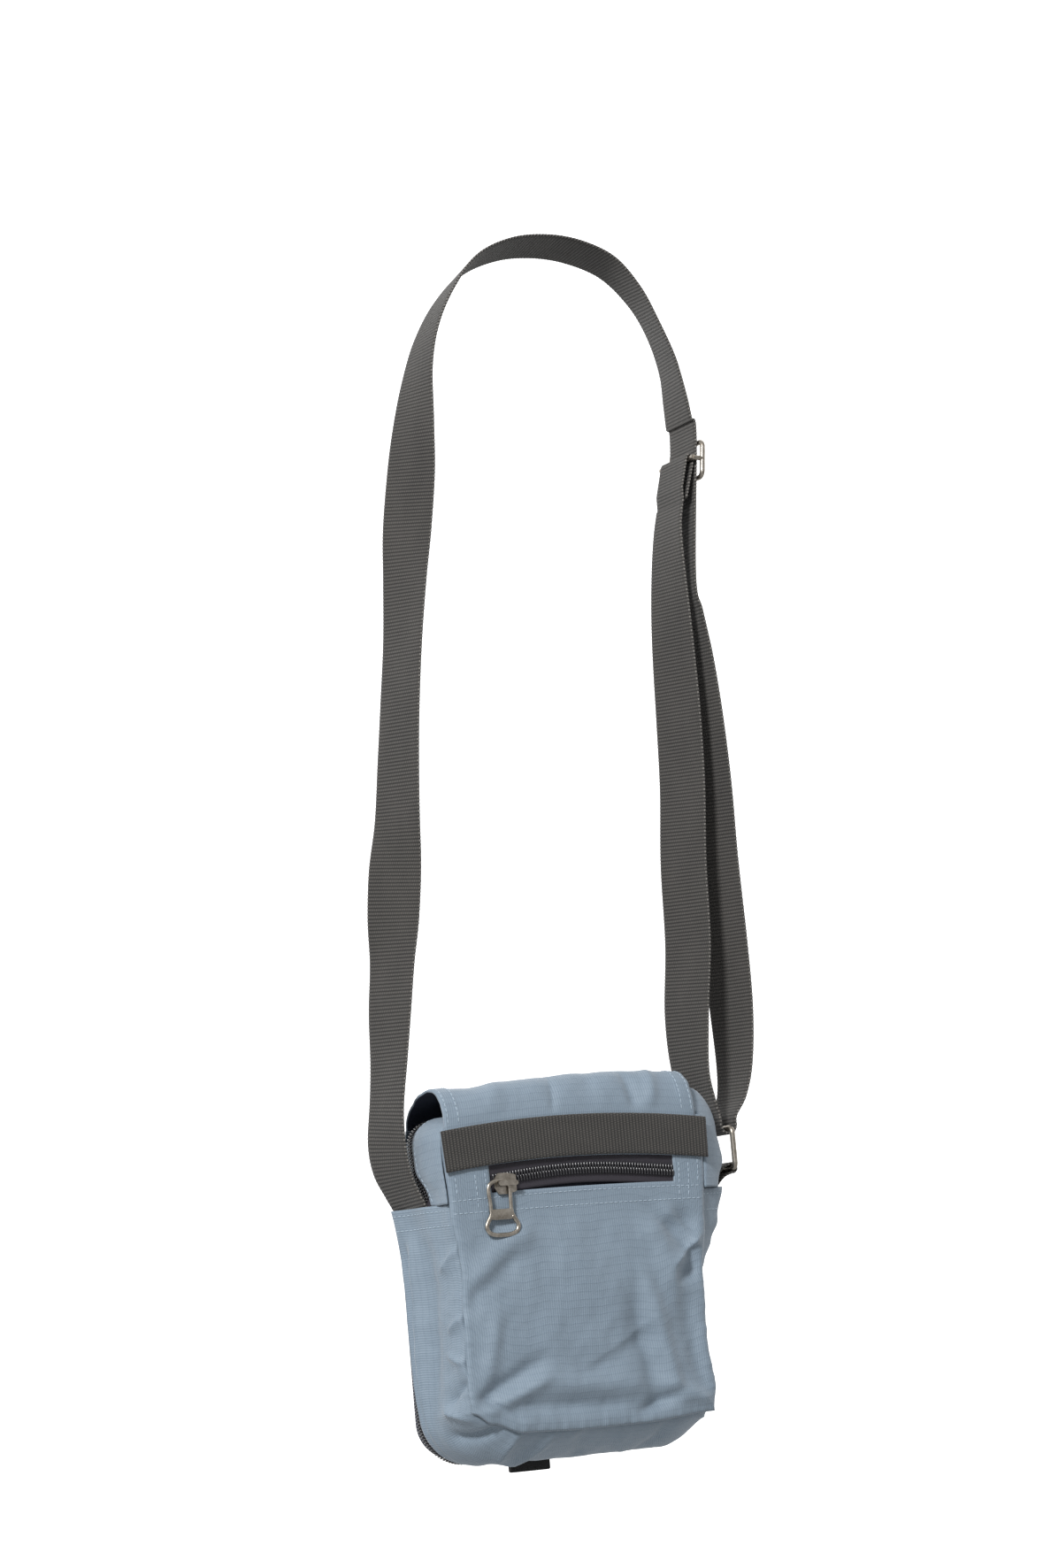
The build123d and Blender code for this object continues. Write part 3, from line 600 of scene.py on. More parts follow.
def back_point(x, height):
    """Place on the back for nominal x and height; x runs from -BACK_HALF to BACK_HALF."""
    u = x / BACK_HALF
    seam = through(u, LOW_SEAM) * max(0.0, 1 - height / 46) ** 2
    z = height + seam
    half = through(z, LEFT_EDGE) if u < 0 else through(z, RIGHT_EDGE)
    side = u * half
    z += through(height, BOW) * (1 - u * u) + through(height, RISE)
    to_side = (1 - abs(u)) * half
    to_edge = min(to_side, height)
    free = smooth((120 - height) / 20)
    loose = free * smooth(to_edge / 9)
    out = 3.2 * loose * (1 - u * u) * sin(pi * min(1.0, max(0.0, height / 120)))
    out += loose * fold_height(side, z, BACK_FOLDS)
    out += loose * (0.9 * rumple(side, z, 17, 1.0) + 0.35 * rumple(side, z, 6.5, 2.0))
    out += 0.35 * free * rumple(side * 0.25, z, 3.4, 3.0) * exp(-to_side / 5) * 2.2
    out += 0.35 * free * rumple(side, z * 0.25, 3.6, 4.0) * exp(-height / 5) * 2.0
    roll = 1.7 * exp(-to_edge / 1.3)
    return Vector((side, roll - out, z))


def in_window(x, height):
    return WINDOW_LEFT < x < WINDOW_RIGHT and WINDOW_LOW < height < STRIP_LOW


def stretches(places):
    """Steps of the cloth's own size that also meet each of these places."""
    values = [places[0]]
    for low, high in zip(places, places[1:]):
        values += steps(low, high, CLOTH_STEP)[1:]
    return values


back_columns = stretches((-BACK_HALF, WINDOW_LEFT, WINDOW_RIGHT, BACK_HALF))
back_rows = stretches((0, WINDOW_LOW, STRIP_LOW, BACK_TOP))
back_cover = surface("back_cover", back_columns, back_rows, back_point, [cloth, lining], "root",
                     skip=in_window, thick=1.0)
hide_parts("back_pocket_panel", "back_yoke")

BACK_OUT = (0, -1, 0)


def back_run(points):
    """Stitch run along a few nominal back places."""
    places = spline([(x, z, 0) for x, z in points], 1.0)
    return [back_point(p.x, p.y) for p in places], [BACK_OUT] * len(places)


back_seams = [
    back_run(((-79, 122.6), (0, 122.9), (79, 122.6))),
    back_run(((-79, 116.2), (0, 116.6), (79, 116.2))),
    back_run(((-57.3, 136), (-57.3, 117.5))),
    back_run(((-63.4, 136), (-63.4, 117.5))),
    back_run(((63.6, 136), (63.6, 117.5))),
    back_run(((69.6, 136), (69.6, 117.5))),
    back_run(((75.6, 160), (75.6, 123.5))),
    back_run(((-75.6, 136), (-75.6, 123.5))),
]
stitches("back_stitches", back_seams, "root")


# --- pocket zip ---
ZIP_BOW = 5.4            # rise of the zip's middle over its ends


def zip_point(x, across):
    """Place on the pocket zip; across is measured up from the coil's middle."""
    middle = back_point(x, ZIP_HEIGHT)
    u = x / BACK_HALF
    return Vector((middle.x, 1.0, ZIP_HEIGHT + 0.6 + ZIP_BOW * (1 - u * u) ** 2 + across))


zip_columns = steps(WINDOW_LEFT - 2, WINDOW_RIGHT + 2, 1.5)
pocket_tape = surface("pocket_zip_tape", zip_columns, steps(-8, 10.4, 1.4), zip_point,
                      [tape], "root", thick=0.5)
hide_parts("back_zip_upper_tape", "back_zip_lower_tape")
zip_line = [zip_point(x, 0.0) for x in steps(WINDOW_LEFT, WINDOW_RIGHT, 1.0)]
teeth("pocket_zip_coil", zip_line, lambda t: BACK_OUT, (-1, 1), "root",
              reach=3.4, lift=1.1, radius=0.62)


# --- webbing strip over the top of the zip ---
def strip_run(low, high, end_left, end_right):
    """Centres and width directions along the strip, which follows the cloth under it."""
    middle = (low + high) / 2
    xs = steps(end_left, end_right, RIB / 4)
    centres = []
    widths = []
    for x in xs:
        base = back_point(x, middle)
        ripple = 0.25 * rumple(x, 0, 9, 5.0)
        centres.append(Vector((base.x, -1.3 + ripple, base.z)))
        upper = back_point(x, high)
        lower = back_point(x, low)
        tilt = (upper - lower).normalized()
        widths.append(Vector((tilt.x, 0.03, tilt.z)))
    return centres, widths


strip_centres, strip_widths = strip_run(STRIP_LOW, STRIP_HIGH, -80.6, 81.5)
strip = ribbon("strip_webbing", strip_centres, strip_widths, webbing, "root",
               width=STRIP_HIGH - STRIP_LOW, sheared=True)
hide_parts("webbing_strip")


# --- lower gusset ---
SIDE_SHARE = 0.30         # share of the gusset's path that is one side
CORNER_SHARE = 0.085      # and one rounded corner
BOTTOM_FALL = 2.6         # how fast the bottom drops away from the seam


def inner_path(s):
    """Back seam: down the left side, along the bottom, up the right side."""
    if s < SIDE_SHARE:
        height = lerp(HEM, 10.0, s / SIDE_SHARE)
        return Vector((-through(height, LEFT_EDGE), 0, height))
    if s > 1 - SIDE_SHARE:
        height = lerp(HEM, -0.6, (1 - s) / SIDE_SHARE)
        return Vector((through(height, RIGHT_EDGE), 0, height))
    u = lerp(-1, 1, (s - SIDE_SHARE) / (1 - 2 * SIDE_SHARE))
    z = through(u, LOW_SEAM)
    half = through(z, LEFT_EDGE) if u < 0 else through(z, RIGHT_EDGE)
    return Vector((u * half, 0, z))


def outer_path(s, inset=0.0):
    """Expander zip's line: the same way round, with rounded corners."""
    half = SIDE_HALF - (2.0 if s < 0.5 else 0.6) - inset
    low = FRONT_BOTTOM + inset
    radius = SIDE_CORNER - inset
    flip = 1
    if s > 0.5:
        s = 1 - s
        flip = -1
    if s < SIDE_SHARE:
        point = Vector((-half, 0, lerp(HEM, low + radius, s / SIDE_SHARE)))
    elif s < SIDE_SHARE + CORNER_SHARE:
        angle = (s - SIDE_SHARE) / CORNER_SHARE * pi / 2
        point = Vector((-half + radius * (1 - cos(angle)), 0, low + radius * (1 - sin(angle))))
    else:
        share = (s - SIDE_SHARE - CORNER_SHARE) / (0.5 - SIDE_SHARE - CORNER_SHARE)
        point = Vector((lerp(-half + radius, 0, share), 0, low))
    point.x *= flip
    return point


def path_out(s):
    """Outward direction across the path."""
    a = outer_path(max(0.0, s - 0.01))
    b = outer_path(min(1.0, s + 0.01))
    along = (b - a).normalized()
    return Vector((along.z, 0, -along.x))


GUSSET_LENGTH = 410.0
# how far the slack cloth of the right side stands out, by height
RIGHT_SLACK = ((76, 0.0), (93, 8.5), (105, 14.0), (122, 18.0))
# the same for the ear above it, along its path
EAR_SLACK = ((0.0, 13.5), (0.25, 17.0), (0.5, 15.0), (0.655, 15.0), (0.8, 9.0), (1.0, 2.0))
# folds of the gusset, in millimetres of depth and of length along its path
GUSSET_FOLDS = (
    ((38, 14), (42, 120), 3.2, 2.2, False),
    ((46, 10), (46, 130), 2.6, -2.2, False),
    ((26, 20), (30, 110), 6.0, -1.6, False),
    ((3, 26), (15, 38), 2.6, 1.8, True),
    ((3, 66), (13, 74), 2.2, 1.6, True),
    ((3, 94), (15, 88), 2.4, 2.0, True),
    ((4, 104), (18, 116), 3.0, -2.2, True),
    ((4, 128), (22, 120), 3.0, 2.4, True),
    ((5, 140), (26, 134), 3.4, -2.4, False),
    ((4, 152), (24, 158), 3.0, 2.0, True),
    ((6, 176), (34, 168), 4.4, 1.8, False),
    ((6, 196), (28, 206), 4.0, -1.4, False),
    ((8, 222), (28, 230), 4.5, 0.9, False),
    ((6, 252), (26, 240), 4.0, -1.4, False),
    ((6, 274), (28, 280), 4.0, 1.5, True),
    ((10, 330), (40, 330), 5.0, -3.0, False),
    ((10, 366), (44, 362), 6.0, 2.4, False),
)


def gusset_point(t, s):
    """Place on the gusset; t from the back seam to the expander zip, s along the path."""
    near = inner_path(s)
    far = outer_path(s)
    out = path_out(s)
    fallen = 1 - (1 - t) ** BOTTOM_FALL
    below = smooth((s - 0.22) / 0.16) * smooth((0.78 - s) / 0.16)
    share = lerp(t, fallen, below)
    point = near.lerp(far, share)
    depth = lerp(2.5, GUSSET_END, t)
    edge = min(depth, GUSSET_END + 4 - depth)
    hem = smooth((s - 0.02) / 0.05) * smooth((0.98 - s) / 0.05)
    loose = smooth(edge / 6) * smooth((GUSSET_END + 4 - depth) / 16) * hem
    upright_share = 1 - below
    away = 2.4 * loose * sin(pi * t)
    away += (5.2 * exp(-(((t - 0.92) / 0.15) ** 2)) * (upright_share * 0.9 + 0.1)
             * smooth((1.0 - t) / 0.08 + 0.3))
    if s > 0.5:
        away += through(point.z, RIGHT_SLACK) * smooth(t / 0.2) * smooth((0.75 - t) / 0.45)
    else:
        away += 4.8 * exp(-s / 0.055) * smooth((depth - 10) / 14) * smooth((GUSSET_END + 5 - depth) / 9)
    away += loose * fold_height(depth, s * GUSSET_LENGTH, GUSSET_FOLDS)
    away += loose * (0.8 * rumple(depth, s * GUSSET_LENGTH, 15, 7.0)
                     + 0.3 * rumple(depth, s * GUSSET_LENGTH, 6, 8.0))
    away += 0.9 * hem * rumple(depth * 0.3, s * GUSSET_LENGTH, 4.2, 9.0) * exp(-depth / 7)
    away -= 1.9 * exp(-(depth - 2.5) / 1.3)
    point += out * away
    point.y = depth
    return point


gusset_cover = surface("gusset_cover", steps(0, 1, 0.03), steps(0, 1, 0.0034), gusset_point,
                       [cloth_cross, lining], "root", thick=1.0)
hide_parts("gusset")

gusset_seams = []
for s_low in (0.0085, 0.030):
    for flip in (False, True):
        ts = steps(0.03, 0.98, 0.02)
        s = 1 - s_low if flip else s_low
        line = [gusset_point(t, s) for t in ts]
        gusset_seams.append((line, [path_out(s)] * len(line)))
stitches("gusset_stitches", gusset_seams, "root")


# --- expander zip and the front ---
def side_line(depth, inset):
    """The expander zip's line, as far up as its ends."""
    points = []
    for s in steps(0.0, 1.0, 0.004):
        p = outer_path(s, inset)
        p.y = depth
        if p.z <= BAND_TOP:
            points.append(p)
    return points


side_middle = GUSSET_END + 3.6
side_points = side_line(side_middle, 0.3)
side_coil = teeth("expander_zip_coil", side_points,
                  lambda t: path_out(lerp(0.03, 0.97, t)), (-1, 1), "root", lift=0.3)


def side_tape_point(a, s):
    """Place on the expander zip's tape; a from the gusset to the front's rim."""
    point = outer_path(s, lerp(1.0, 2.4, a))
    point.y = lerp(GUSSET_END - 0.7, FRONT_RIM, a)
    return point


def front_point(a, s):
    """Front of the bag: a from its rim, over the rounded edge at 1, to the middle line at 2."""
    turn = min(1.0, a) * pi / 2
    point = outer_path(s, 2.4 + 6 * (1 - cos(turn)))
    point.y = FRONT_RIM + (FRONT_FACE - FRONT_RIM) * sin(turn)
    if a > 1:
        middle = Vector((0, point.y, max(point.z, 48)))
        point = point.lerp(middle, a - 1)
    return point


side_runs = steps(0.0277, 0.9723, 0.006)
side_tape = surface("expander_zip_tape", steps(0, 1, 0.125), side_runs, side_tape_point,
                    [tape], "root", thick=0.5)
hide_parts("side_zip_inner_tape", "side_zip_outer_tape")
front_cover = surface("front_cover", steps(0, 1, 0.125)[:-1] + steps(1, 2, 0.05), side_runs, front_point,
                      [cloth, lining], "root", thick=0.9)
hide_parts("front_band", "front_panel")


def box_uv(node):
    """UVs in metres, from whichever two axes each face lies along."""
    mesh = node.data
    layer = mesh.uv_layers.get("weave") or mesh.uv_layers.new(name="weave")
    for polygon in mesh.polygons:
        n = polygon.normal
        for loop in polygon.loop_indices:
            co = mesh.vertices[mesh.loops[loop].vertex_index].co
            if abs(n.y) >= max(abs(n.x), abs(n.z)):
                pair = (co.x, co.z)
            elif abs(n.x) >= abs(n.z):
                pair = (co.y, co.z)
            else:
                pair = (co.x, co.y)
            layer.data[loop].uv = pair


def weld(obj):
    """Join vertices that lie on each other, so that both halves of the front meet in one line."""
    bm = bmesh.new()
    bm.from_mesh(obj.data)
    bmesh.ops.remove_doubles(bm, verts=bm.verts, dist=0.00001)
    bm.to_mesh(obj.data)
    bm.free()


weld(front_cover)
box_uv(front_cover)


def dress(names, material):
    """Finish for CAD nodes that stay on show."""
    for name in names:
        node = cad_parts[name]
        if material != metal:
            box_uv(node)
        node.data.materials.clear()
        node.data.materials.append(material)


dress(("front_slope", "cuff_front", "mouth_strip"), cloth)
dress(("main_zip_front_tape", "main_zip_rear_left",
       "main_zip_rear_right", "mouth_zip_tape"), tape)
dress(("pocket_lining", "expander_gusset"), lining)
dress(("loop_pad", "hook_pad", "flap_pull_tab"), pile)
dress(("back_zip_slider", "main_zip_slider", "main_zip_pull", "side_zip_slider", "side_zip_pull",
       "strap_ring", "slide_frame"), metal)


# --- ears of the mouth gusset ---
EAR_HALF = 81
EAR_TOP = 166.2
EAR_CORNER = 12
EAR_ZIP = ((122.3, 23.2), (146, 33.5), (158, 35.4), (170, 35.4))


def ear_path(s):
    """Up the side from the hem and over the corner towards the mouth, for the left ear."""
    up = EAR_TOP - EAR_CORNER - HEM
    arc = EAR_CORNER * pi / 2
    flat = 12.5
    run = s * (up + arc + flat)
    if run < up:
        return Vector((-EAR_HALF, 0, HEM + run)), Vector((-1, 0, 0))
    if run < up + arc:
        angle = (run - up) / EAR_CORNER
        corner = Vector((-EAR_HALF + EAR_CORNER * (1 - cos(angle)), 0,
                         EAR_TOP - EAR_CORNER * (1 - sin(angle))))
        return corner, Vector((-cos(angle), 0, sin(angle)))
    return Vector((-EAR_HALF + EAR_CORNER + run - up - arc, 0, EAR_TOP)), Vector((0, 0, 1))


def ear_point(a, s, side=-1, lift=0.0):
    """Place on an ear; a from the back seam to the zip, s up from the hem."""
    point, out = ear_path(s)
    zip_depth = through(point.z, EAR_ZIP) - 3.2
    depth = lerp(1.4, zip_depth, a)
    puff = 3.8 * smooth(s / 0.35) * smooth((1.05 - s) / 0.3) * sin(pi * min(1, a * 0.62 + 0.1))
    if side > 0:
        puff += through(s, EAR_SLACK) * max(0.0, sin(pi * min(1.0, a))) ** 0.9
    puff += 0.6 * rumple(depth, point.z, 9, 11.0) * smooth(a / 0.2)
    point = point + out * (puff + lift)
    point.x *= -side
    return Vector((point.x, depth, point.z))


def ear_out(s, side=-1):
    """Outward direction of an ear."""
    out = ear_path(s)[1]
    return Vector((-side * out.x, 0, out.z))


ear_seams = []
for name, side in (("left_ear", -1), ("right_ear", 1)):
    ear = surface(name + "_cover", steps(0, 1, 0.04), steps(0, 1, 0.02),
                  lambda a, s, side=side: ear_point(a, s, side), [cloth, lining], "root",
                  thick=0.9, turned=side < 0)
    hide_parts(name)
    ss = steps(0.03, 0.97, 0.012)
    ear_seams.append(([ear_point(0.86, s, side) for s in ss], [ear_out(s, side) for s in ss]))
    line = [ear_point(1.09, s, side, 0.3) for s in ss]
    coil = teeth(name.replace("ear", "zip_coil"), line, lambda t, side=side: ear_out(t, side),
                 (-1, 1), "root")
stitches("ear_stitches", ear_seams, "root")


# --- flap ---
KNEE = 112.0             # height at which the flap's slope turns into its drop
DROP_DEPTH = 67.2
DROP_LOW = 2.0
FLAP_FOLDS = (
    ((-12, 4), (-8, 26), 3.0, -1.2, True),
    ((40, 3), (38, 24), 4.0, -1.4, False),
    ((50, 6), (56, 30), 3.6, 1.2, False),
    ((-50, 8), (-36, 40), 6.0, 0.9, False),
    ((10, 12), (24, 44), 6.0, -0.9, False),
    ((-66, 60), (-30, 90), 8.0, 1.2, False),
    ((20, 110), (60, 150), 9.0, 1.4, False),
    ((-60, 160), (10, 140), 9.0, -1.2, False),
)
# height of the flap's ridge against a level one, across its width
RIDGE = ((-1, -3.0), (-0.7, -4.4), (-0.2, -2.2), (0.3, 0.0), (0.7, 0.2), (1, 0.0))
ARC = pi * CROWN_RADIUS
SLOPE = hypot(DROP_DEPTH - CROWN_DEPTH - CROWN_RADIUS, CROWN_HEIGHT - KNEE)
FLAP_LENGTH = ARC + SLOPE + KNEE - DROP_LOW


def flap_line(run):
    """Side view of the flap: place and outward direction at a distance from its sewn edge."""
    if run < ARC:
        angle = run / CROWN_RADIUS
        out = Vector((0, -cos(angle), sin(angle)))
        return Vector((0, CROWN_DEPTH, CROWN_HEIGHT)) + out * CROWN_RADIUS, out
    if run < ARC + SLOPE:
        t = (run - ARC) / SLOPE
        top = Vector((0, CROWN_DEPTH + CROWN_RADIUS, CROWN_HEIGHT))
        knee = Vector((0, DROP_DEPTH, KNEE))
        along = (knee - top).normalized()
        return top.lerp(knee, t), Vector((0, -along.z, along.y))
    return Vector((0, DROP_DEPTH, KNEE - (run - ARC - SLOPE))), Vector((0, 1, 0))


def flap_point(x, run):
    """Place on the flap, for x across it and a distance from its sewn edge."""
    base, _ = flap_line(max(0.0, run))
    soft = Vector((0, 0, 0))
    for offset in (-5, -2.5, 0, 2.5, 5):
        soft += flap_line(min(FLAP_LENGTH, max(0, run + offset)))[1]
    out = soft.normalized()
    angle = run / CROWN_RADIUS
    lean = 3.0 * exp(-(((angle - 1.0) / 0.5) ** 2)) - 2.2 * exp(-(((angle - 2.2) / 0.5) ** 2))
    base = base + out * lean + Vector((0, 0, min(0.0, run)))
    u = (x - (FLAP_LEFT + FLAP_RIGHT) / 2) / ((FLAP_RIGHT - FLAP_LEFT) / 2)
    low = 1 - smooth(run / ARC)
    rise = ((4.3 * (1 - u * u) - 0.6) * low
            + through(u, RIDGE) * exp(-((run / ARC - 0.45) / 0.3) ** 2))
    away = (fold_height(x, run, FLAP_FOLDS) + 0.7 * rumple(x, run, 16, 12.0)
            + 0.25 * rumple(x, run, 6, 13.0))
    away *= smooth((run + 3) / 9) * smooth((1 - abs(u)) / 0.1)
    away *= 1 - 0.6 * exp(-(((angle - 1.5) / 0.55) ** 2))
    away += 0.9 * rumple(x * 0.2, run, 5, 14.0) * exp(-(1 - abs(u)) * 79 / 8) * smooth(run / 10)
    away -= 0.6 * exp(-((1 - abs(u)) * 78 / 2.0))
    corner = max(0.0, run - (FLAP_LENGTH - 20))
    trim = 20 - sqrt(max(0.0, 400 - corner * corner)) if corner > 0 else 0.0
    trim += 4.0 * smooth((run - ARC) / 50)
    x = x - u * trim
    hem = 0.35 * smooth(run / 10) if (1 - abs(u)) * 78.5 < 9.5 else 0.0
    point = base + out * (away + hem)
    return Vector((x, point.y, point.z + rise))


# the stretch also takes in some cloth of the sewn side
flap = surface("flap_cover", steps(FLAP_LEFT, FLAP_RIGHT, CLOTH_STEP), steps(-5, FLAP_LENGTH, CLOTH_STEP),
               flap_point, [cloth, lining], None, thick=1.3)
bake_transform(flap)
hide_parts("flap_crown", "flap_drop")

flap_seams = []
for x in (FLAP_LEFT + 2.2, FLAP_LEFT + 8.6, FLAP_RIGHT - 2.2, FLAP_RIGHT - 8.6):
    runs = steps(2, FLAP_LENGTH - 22, 1.5)
    flap_seams.append(([flap_point(x, r) for r in runs], [flap_line(r)[1] for r in runs]))
for run in (FLAP_LENGTH - 2.2, FLAP_LENGTH - 8.6):
    xs = steps(FLAP_LEFT + 16, FLAP_RIGHT - 16, 1.5)
    flap_seams.append(([flap_point(x, run) for x in xs], [Vector((0, 1, 0))] * len(xs)))
flap_thread = stitches("flap_stitches", flap_seams, None)
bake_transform(flap_thread)


# --- strap ---
# webbing stations: x, height, and the turn of its width about the vertical, where 90 lies along
# the depth
UPPER_STATIONS = (
    (-80.0, 111, 98), (-83.4, 120, 100), (-88.8, 131, 102), (-94.0, 143, 106), (-96.6, 158, 106),
    (-96.0, 178, 102), (-92.6, 203, 106), (-89.5, 230, 114), (-85.5, 258, 119), (-82.5, 283, 136),
    (-79.5, 306, 138), (-75.5, 334, 120), (-71.5, 370, 113), (-67.5, 402, 110), (-62.5, 438, 110),
    (-58.0, 472, 118), (-54.0, 500, 129), (-49.0, 530, 128), (-44.5, 560, 114), (-39.0, 590, 98),
    (-31.0, 614, 91), (-18.0, 636, 88), (0.0, 655, 84), (23.0, 665.5, 81), (47.0, 668.8, 80),
    (70.0, 666.5, 78), (91.0, 658.5, 76), (107.0, 643, 73), (118.0, 624, 72), (126.0, 602, 78),
    (129.0, 580, 86), (130.2, 567, 89), (132.0, 556, 90), (122.8, 474, 90), (123.4, 452, 98),
    (125.2, 425, 108), (126.8, 392, 114), (127.4, 352, 119), (126.8, 308, 121), (127.8, 262, 120),
    (128.4, 224, 114), (127.0, 192, 102), (123.0, 173, 93), (116.2, 162, 90), (115.3, 156, 90),
    (113.6, 152.9, 90), (110.5, 151.9, 90), (107.4, 152.9, 90), (105.7, 156, 90), (105.5, 161.9, 90),
)
RETURN_STATIONS = (
    (105.5, 161.9, 90), (102.0, 172, 94), (97.5, 190, 104), (98.5, 222, 116), (103.5, 262, 119),
    (105.5, 308, 120), (109.5, 352, 119), (111.2, 392, 118), (111.8, 425, 114), (112.4, 452, 108),
    (113.6, 480, 99), (115.6, 502, 92), (118.6, 516.2, 90),
)
SHOULDER_TILT = 0.17


def strap_run(stations):
    """Centres and width directions along the stations."""
    fine = spline([(x, z, turn) for x, z, turn in stations], RIB / 4)
    centres = []
    widths = []
    for x, z, turn in fine:
        lean = -SHOULDER_TILT * max(0.0, (z - 560) / 108) if x < 127 else 0.0
        deeper = 5 * smooth((190 - z) / 60) if x < 0 else 0.0
        centres.append(Vector((x, STRAP_DEPTH + deeper, z)))
        widths.append(Vector((cos(radians(turn)), sin(radians(turn)), lean)))
    return centres, widths


centres, widths = strap_run(UPPER_STATIONS)
strap = ribbon("strap_webbing", centres, widths, webbing, "root")
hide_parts("shoulder_strap")

centres, widths = strap_run(RETURN_STATIONS)
strap_back = ribbon("strap_return_webbing", centres, widths, webbing, None)
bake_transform(strap_back)
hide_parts("strap_return")

guide = Vector((9.2, 0, 82)).normalized()
guide_out = Vector((-guide.z, 0, guide.x))
slide_middle = Vector((132.0 - 14 * guide.x / guide.z, STRAP_DEPTH, 542))
bar = slide_middle + guide_out * 3.95
LOOP = 2.3               # radius of the end loop around the slide's bar
LOOP_LEAN = radians(9)   # its tail leans away from the strap
tail_up = Vector((guide.x * cos(LOOP_LEAN) + guide.z * sin(LOOP_LEAN), 0,
                  guide.z * cos(LOOP_LEAN) - guide.x * sin(LOOP_LEAN)))
tail_out = Vector((-tail_up.z, 0, tail_up.x))
loop_points = [bar + tail_out * LOOP * min(1.0, (27.4 - r) / 9) - tail_up * r for r in steps(0, 27, 1)][::-1]
loop_points += [bar + (tail_out * cos(a) + tail_up * sin(a)) * LOOP for a in steps(0.2, pi - 0.2, 0.3)]
loop_points += [bar - tail_out * (LOOP - 0.7 * r / 24) - tail_up * r for r in steps(0, 24, 1)]
loop_points = even(loop_points, RIB / 4)
loop_web = ribbon("strap_end_webbing", loop_points, [Vector((0, 1, 0))] * len(loop_points), webbing, "slide",
                  thick=LOOP_WEB)
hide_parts("strap_end_loop")

TAB_GRIP = 2.65          # radius of the tab's turn around the ring's wire
wire = Vector((110.5, STRAP_DEPTH, 132.5))
tab_points = [Vector((86.0, STRAP_DEPTH, 127.2)), wire + Vector((-0.6, 0, TAB_GRIP))]
tab_points += [wire + Vector((sin(a), 0, cos(a))) * TAB_GRIP for a in steps(0.3, pi - 0.3, 0.3)]
tab_points += [wire + Vector((-0.6, 0, -TAB_GRIP)), Vector((86.0, STRAP_DEPTH, 123.4))]
tab_points = even(tab_points, RIB / 4)
tab_turns = [0.8 * (1 - smooth((p.x - 86) / 21)) for p in tab_points]
tab = ribbon("ring_tab_webbing", tab_points, [Vector((0, cos(turn), sin(turn))) for turn in tab_turns],
             webbing, "root", thick=TAB_WEB)
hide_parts("ring_tab")


# --- pocket zip's pull ---
BAIL = Vector((-50.6, -3.2, 131))   # where the pull hangs on its slider
# two legs that meet over the slider, the eye below and the plate between, from that place
PULL_LEGS = (
    (-6.3, -15.4), (-6.5, -9.5), (-7.0, -4.2), (-6.2, -0.6), (-3.6, 1.2), (-1.6, 1.6),
    (1.6, 1.6), (4.2, 0.8), (5.9, -1.0), (6.2, -4.2), (6.0, -9.5), (5.9, -15.4),
)
PULL_RING = (
    (-6.6, -17.2), (-7.9, -19.2), (-9.4, -21.8), (-9.5, -24.0), (-8.0, -26.2), (-4.6, -27.4),
    (0.0, -27.6), (4.6, -27.4), (8.0, -26.2), (9.5, -24.0), (9.4, -21.8), (7.9, -19.2),
    (6.6, -17.2),
)
PULL_PLATE = (
    (-6.9, -13.6), (-7.2, -15.8), (-8.6, -18.8), (-4.0, -19.4),
    (4.0, -19.4), (8.6, -18.8), (7.2, -15.8), (6.9, -13.6),
)
PLATE_HALF = 0.8         # half of the plate's thickness


def pull_wire(name, line, radius):
    return tube(name, [BAIL + Vector((x, 0, z)) for x, z in line], radius, metal, "back_pull")


pull_legs = pull_wire("pull_legs", PULL_LEGS, 1.1)
pull_ring = pull_wire("pull_ring", PULL_RING, 1.25)
pull_bar = plate_piece("pull_bar", PULL_PLATE, BAIL, (1, 0, 0), (0, -1, 0),
                       -PLATE_HALF, PLATE_HALF, metal, "back_pull", 0.35)
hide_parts("back_zip_pull")


# --- studio ---
def stage_piece(name, verts, faces, colour):
    """Matt piece of the studio."""
    mesh = bpy.data.meshes.new(name)
    mesh.from_pydata(verts, [], faces)
    mesh.shade_smooth()
    obj = bpy.data.objects.new(name, mesh)
    bpy.context.scene.collection.objects.link(obj)
    n = Nodes(name, 0.9)
    n.shader.inputs["Base Color"].default_value = colour
    n.shader.inputs["Specular IOR Level"].default_value = 0.0
    mesh.materials.append(n.material)


FLOOR = -1.5
FLOOR_RADIUS = 2.6
WHITE = 1.02             # backdrop
AROUND = 0.56            # the studio's brightness away from the backdrop
UNDER = 0.20             # its share below
rim = [(FLOOR_RADIUS * cos(a), FLOOR_RADIUS * sin(a), FLOOR) for a in steps(0, 2 * pi, 0.05)[:-1]]
stage_piece("studio_floor", rim, [range(len(rim))], (0.42, 0.42, 0.42, 1))

world = bpy.data.worlds.new("studio")
bpy.context.scene.world = world
world.use_nodes = True
sky = world.node_tree
sky_place = sky.nodes.new("ShaderNodeTexCoord").outputs["Generated"]


def sky_ramp(value, low, high, level_low, level_high):
    """Smooth change of level as value goes from low to high."""
    node = sky.nodes.new("ShaderNodeMapRange")
    node.interpolation_type = "SMOOTHSTEP"
    sky.links.new(value, node.inputs["Value"])
    node.inputs["From Min"].default_value = low
    node.inputs["From Max"].default_value = high
    node.inputs["To Min"].default_value = level_low
    node.inputs["To Max"].default_value = level_high
    return node.outputs[0]


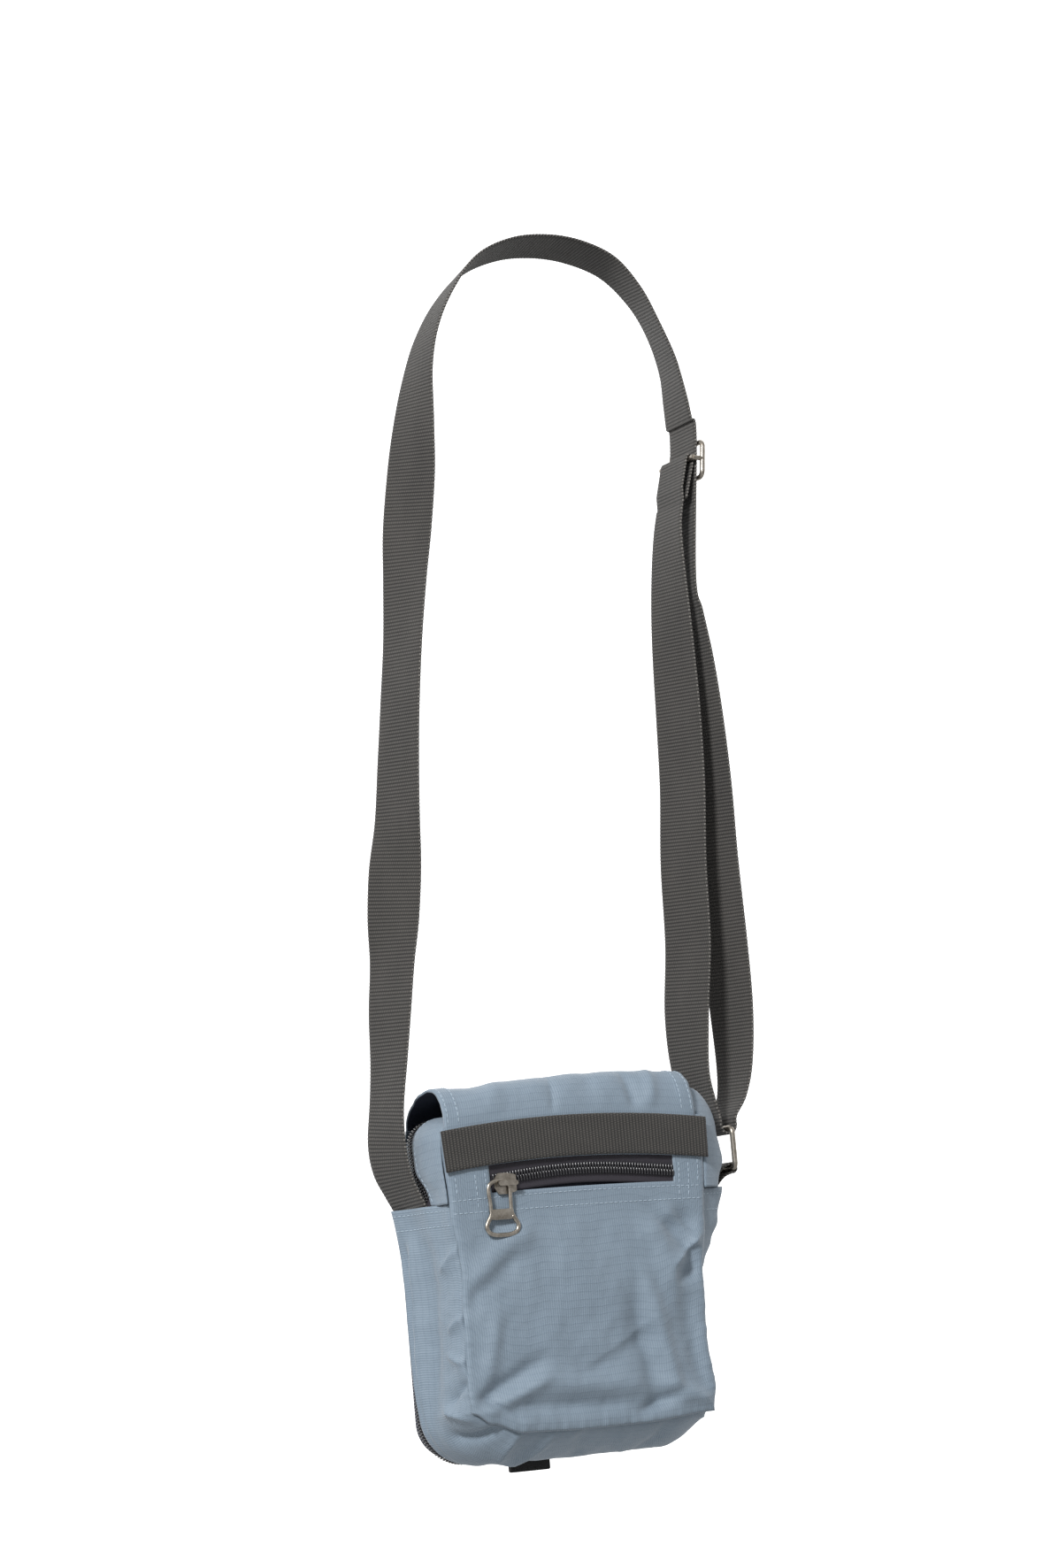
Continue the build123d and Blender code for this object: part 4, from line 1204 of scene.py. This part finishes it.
# the backdrop stands where the camera looks
forward = Vector((0.4801, 0.8661, 0.1392)).normalized()
sky_side = sky.nodes.new("ShaderNodeVectorMath")
sky_side.operation = "DOT_PRODUCT"
sky.links.new(sky_place, sky_side.inputs[0])
sky_side.inputs[1].default_value = forward
sky_parts = sky.nodes.new("ShaderNodeSeparateXYZ")
sky.links.new(sky_place, sky_parts.inputs[0])
sky_level = sky.nodes.new("ShaderNodeMath")
sky_level.operation = "ADD"
sky.links.new(sky_ramp(sky_side.outputs["Value"], 0.0, 0.6, 0.0, WHITE), sky_level.inputs[0])
sky.links.new(sky_ramp(sky_parts.outputs[2], -0.35, 0.05, AROUND * UNDER, AROUND), sky_level.inputs[1])
sky.nodes["Background"].inputs[0].default_value = (1, 1, 1, 1)
sky.links.new(sky_level.outputs[0], sky.nodes["Background"].inputs[1])
bpy.context.scene.view_settings.view_transform = "Standard"


def area_light(name, place, target, width, height, power):
    """Rectangular lamp in watts, turned to its target."""
    data = bpy.data.lights.new(name, "AREA")
    data.shape = "RECTANGLE"
    data.size = width
    data.size_y = height
    data.energy = power
    lamp = bpy.data.objects.new(name, data)
    lamp.location = place
    lamp.rotation_euler = (Vector(target) - Vector(place)).to_track_quat("-Z", "Y").to_euler()
    bpy.context.scene.collection.objects.link(lamp)


BAG_MIDDLE = (-0.047, 0.0, -0.6)
KEY_PLACE = (-2.1, -1.75, 1.1)
KEY_SIZE = 0.5
KEY_POWER = 104
area_light("key", KEY_PLACE, BAG_MIDDLE, KEY_SIZE, KEY_SIZE, KEY_POWER)

CAMERA_DISTANCE = 2.2
LENS = 91.6
camera_data = bpy.data.cameras.new("photo_camera")
camera = bpy.data.objects.new("photo_camera", camera_data)
bpy.context.scene.collection.objects.link(camera)
right = Vector((0.8772, -0.4724, -0.0863))
right = (right - forward * right.dot(forward)).normalized()
upward = right.cross(forward)
aim = Vector((-0.0607, -0.033, -0.3186))
stand = aim - forward * CAMERA_DISTANCE
camera.matrix_world = Matrix((
    (right.x, upward.x, -forward.x, stand.x),
    (right.y, upward.y, -forward.y, stand.y),
    (right.z, upward.z, -forward.z, stand.z),
    (0, 0, 0, 1),
))
camera_data.sensor_width = 36
camera_data.lens = LENS
camera_data.clip_start = 0.05
bpy.context.scene.camera = camera
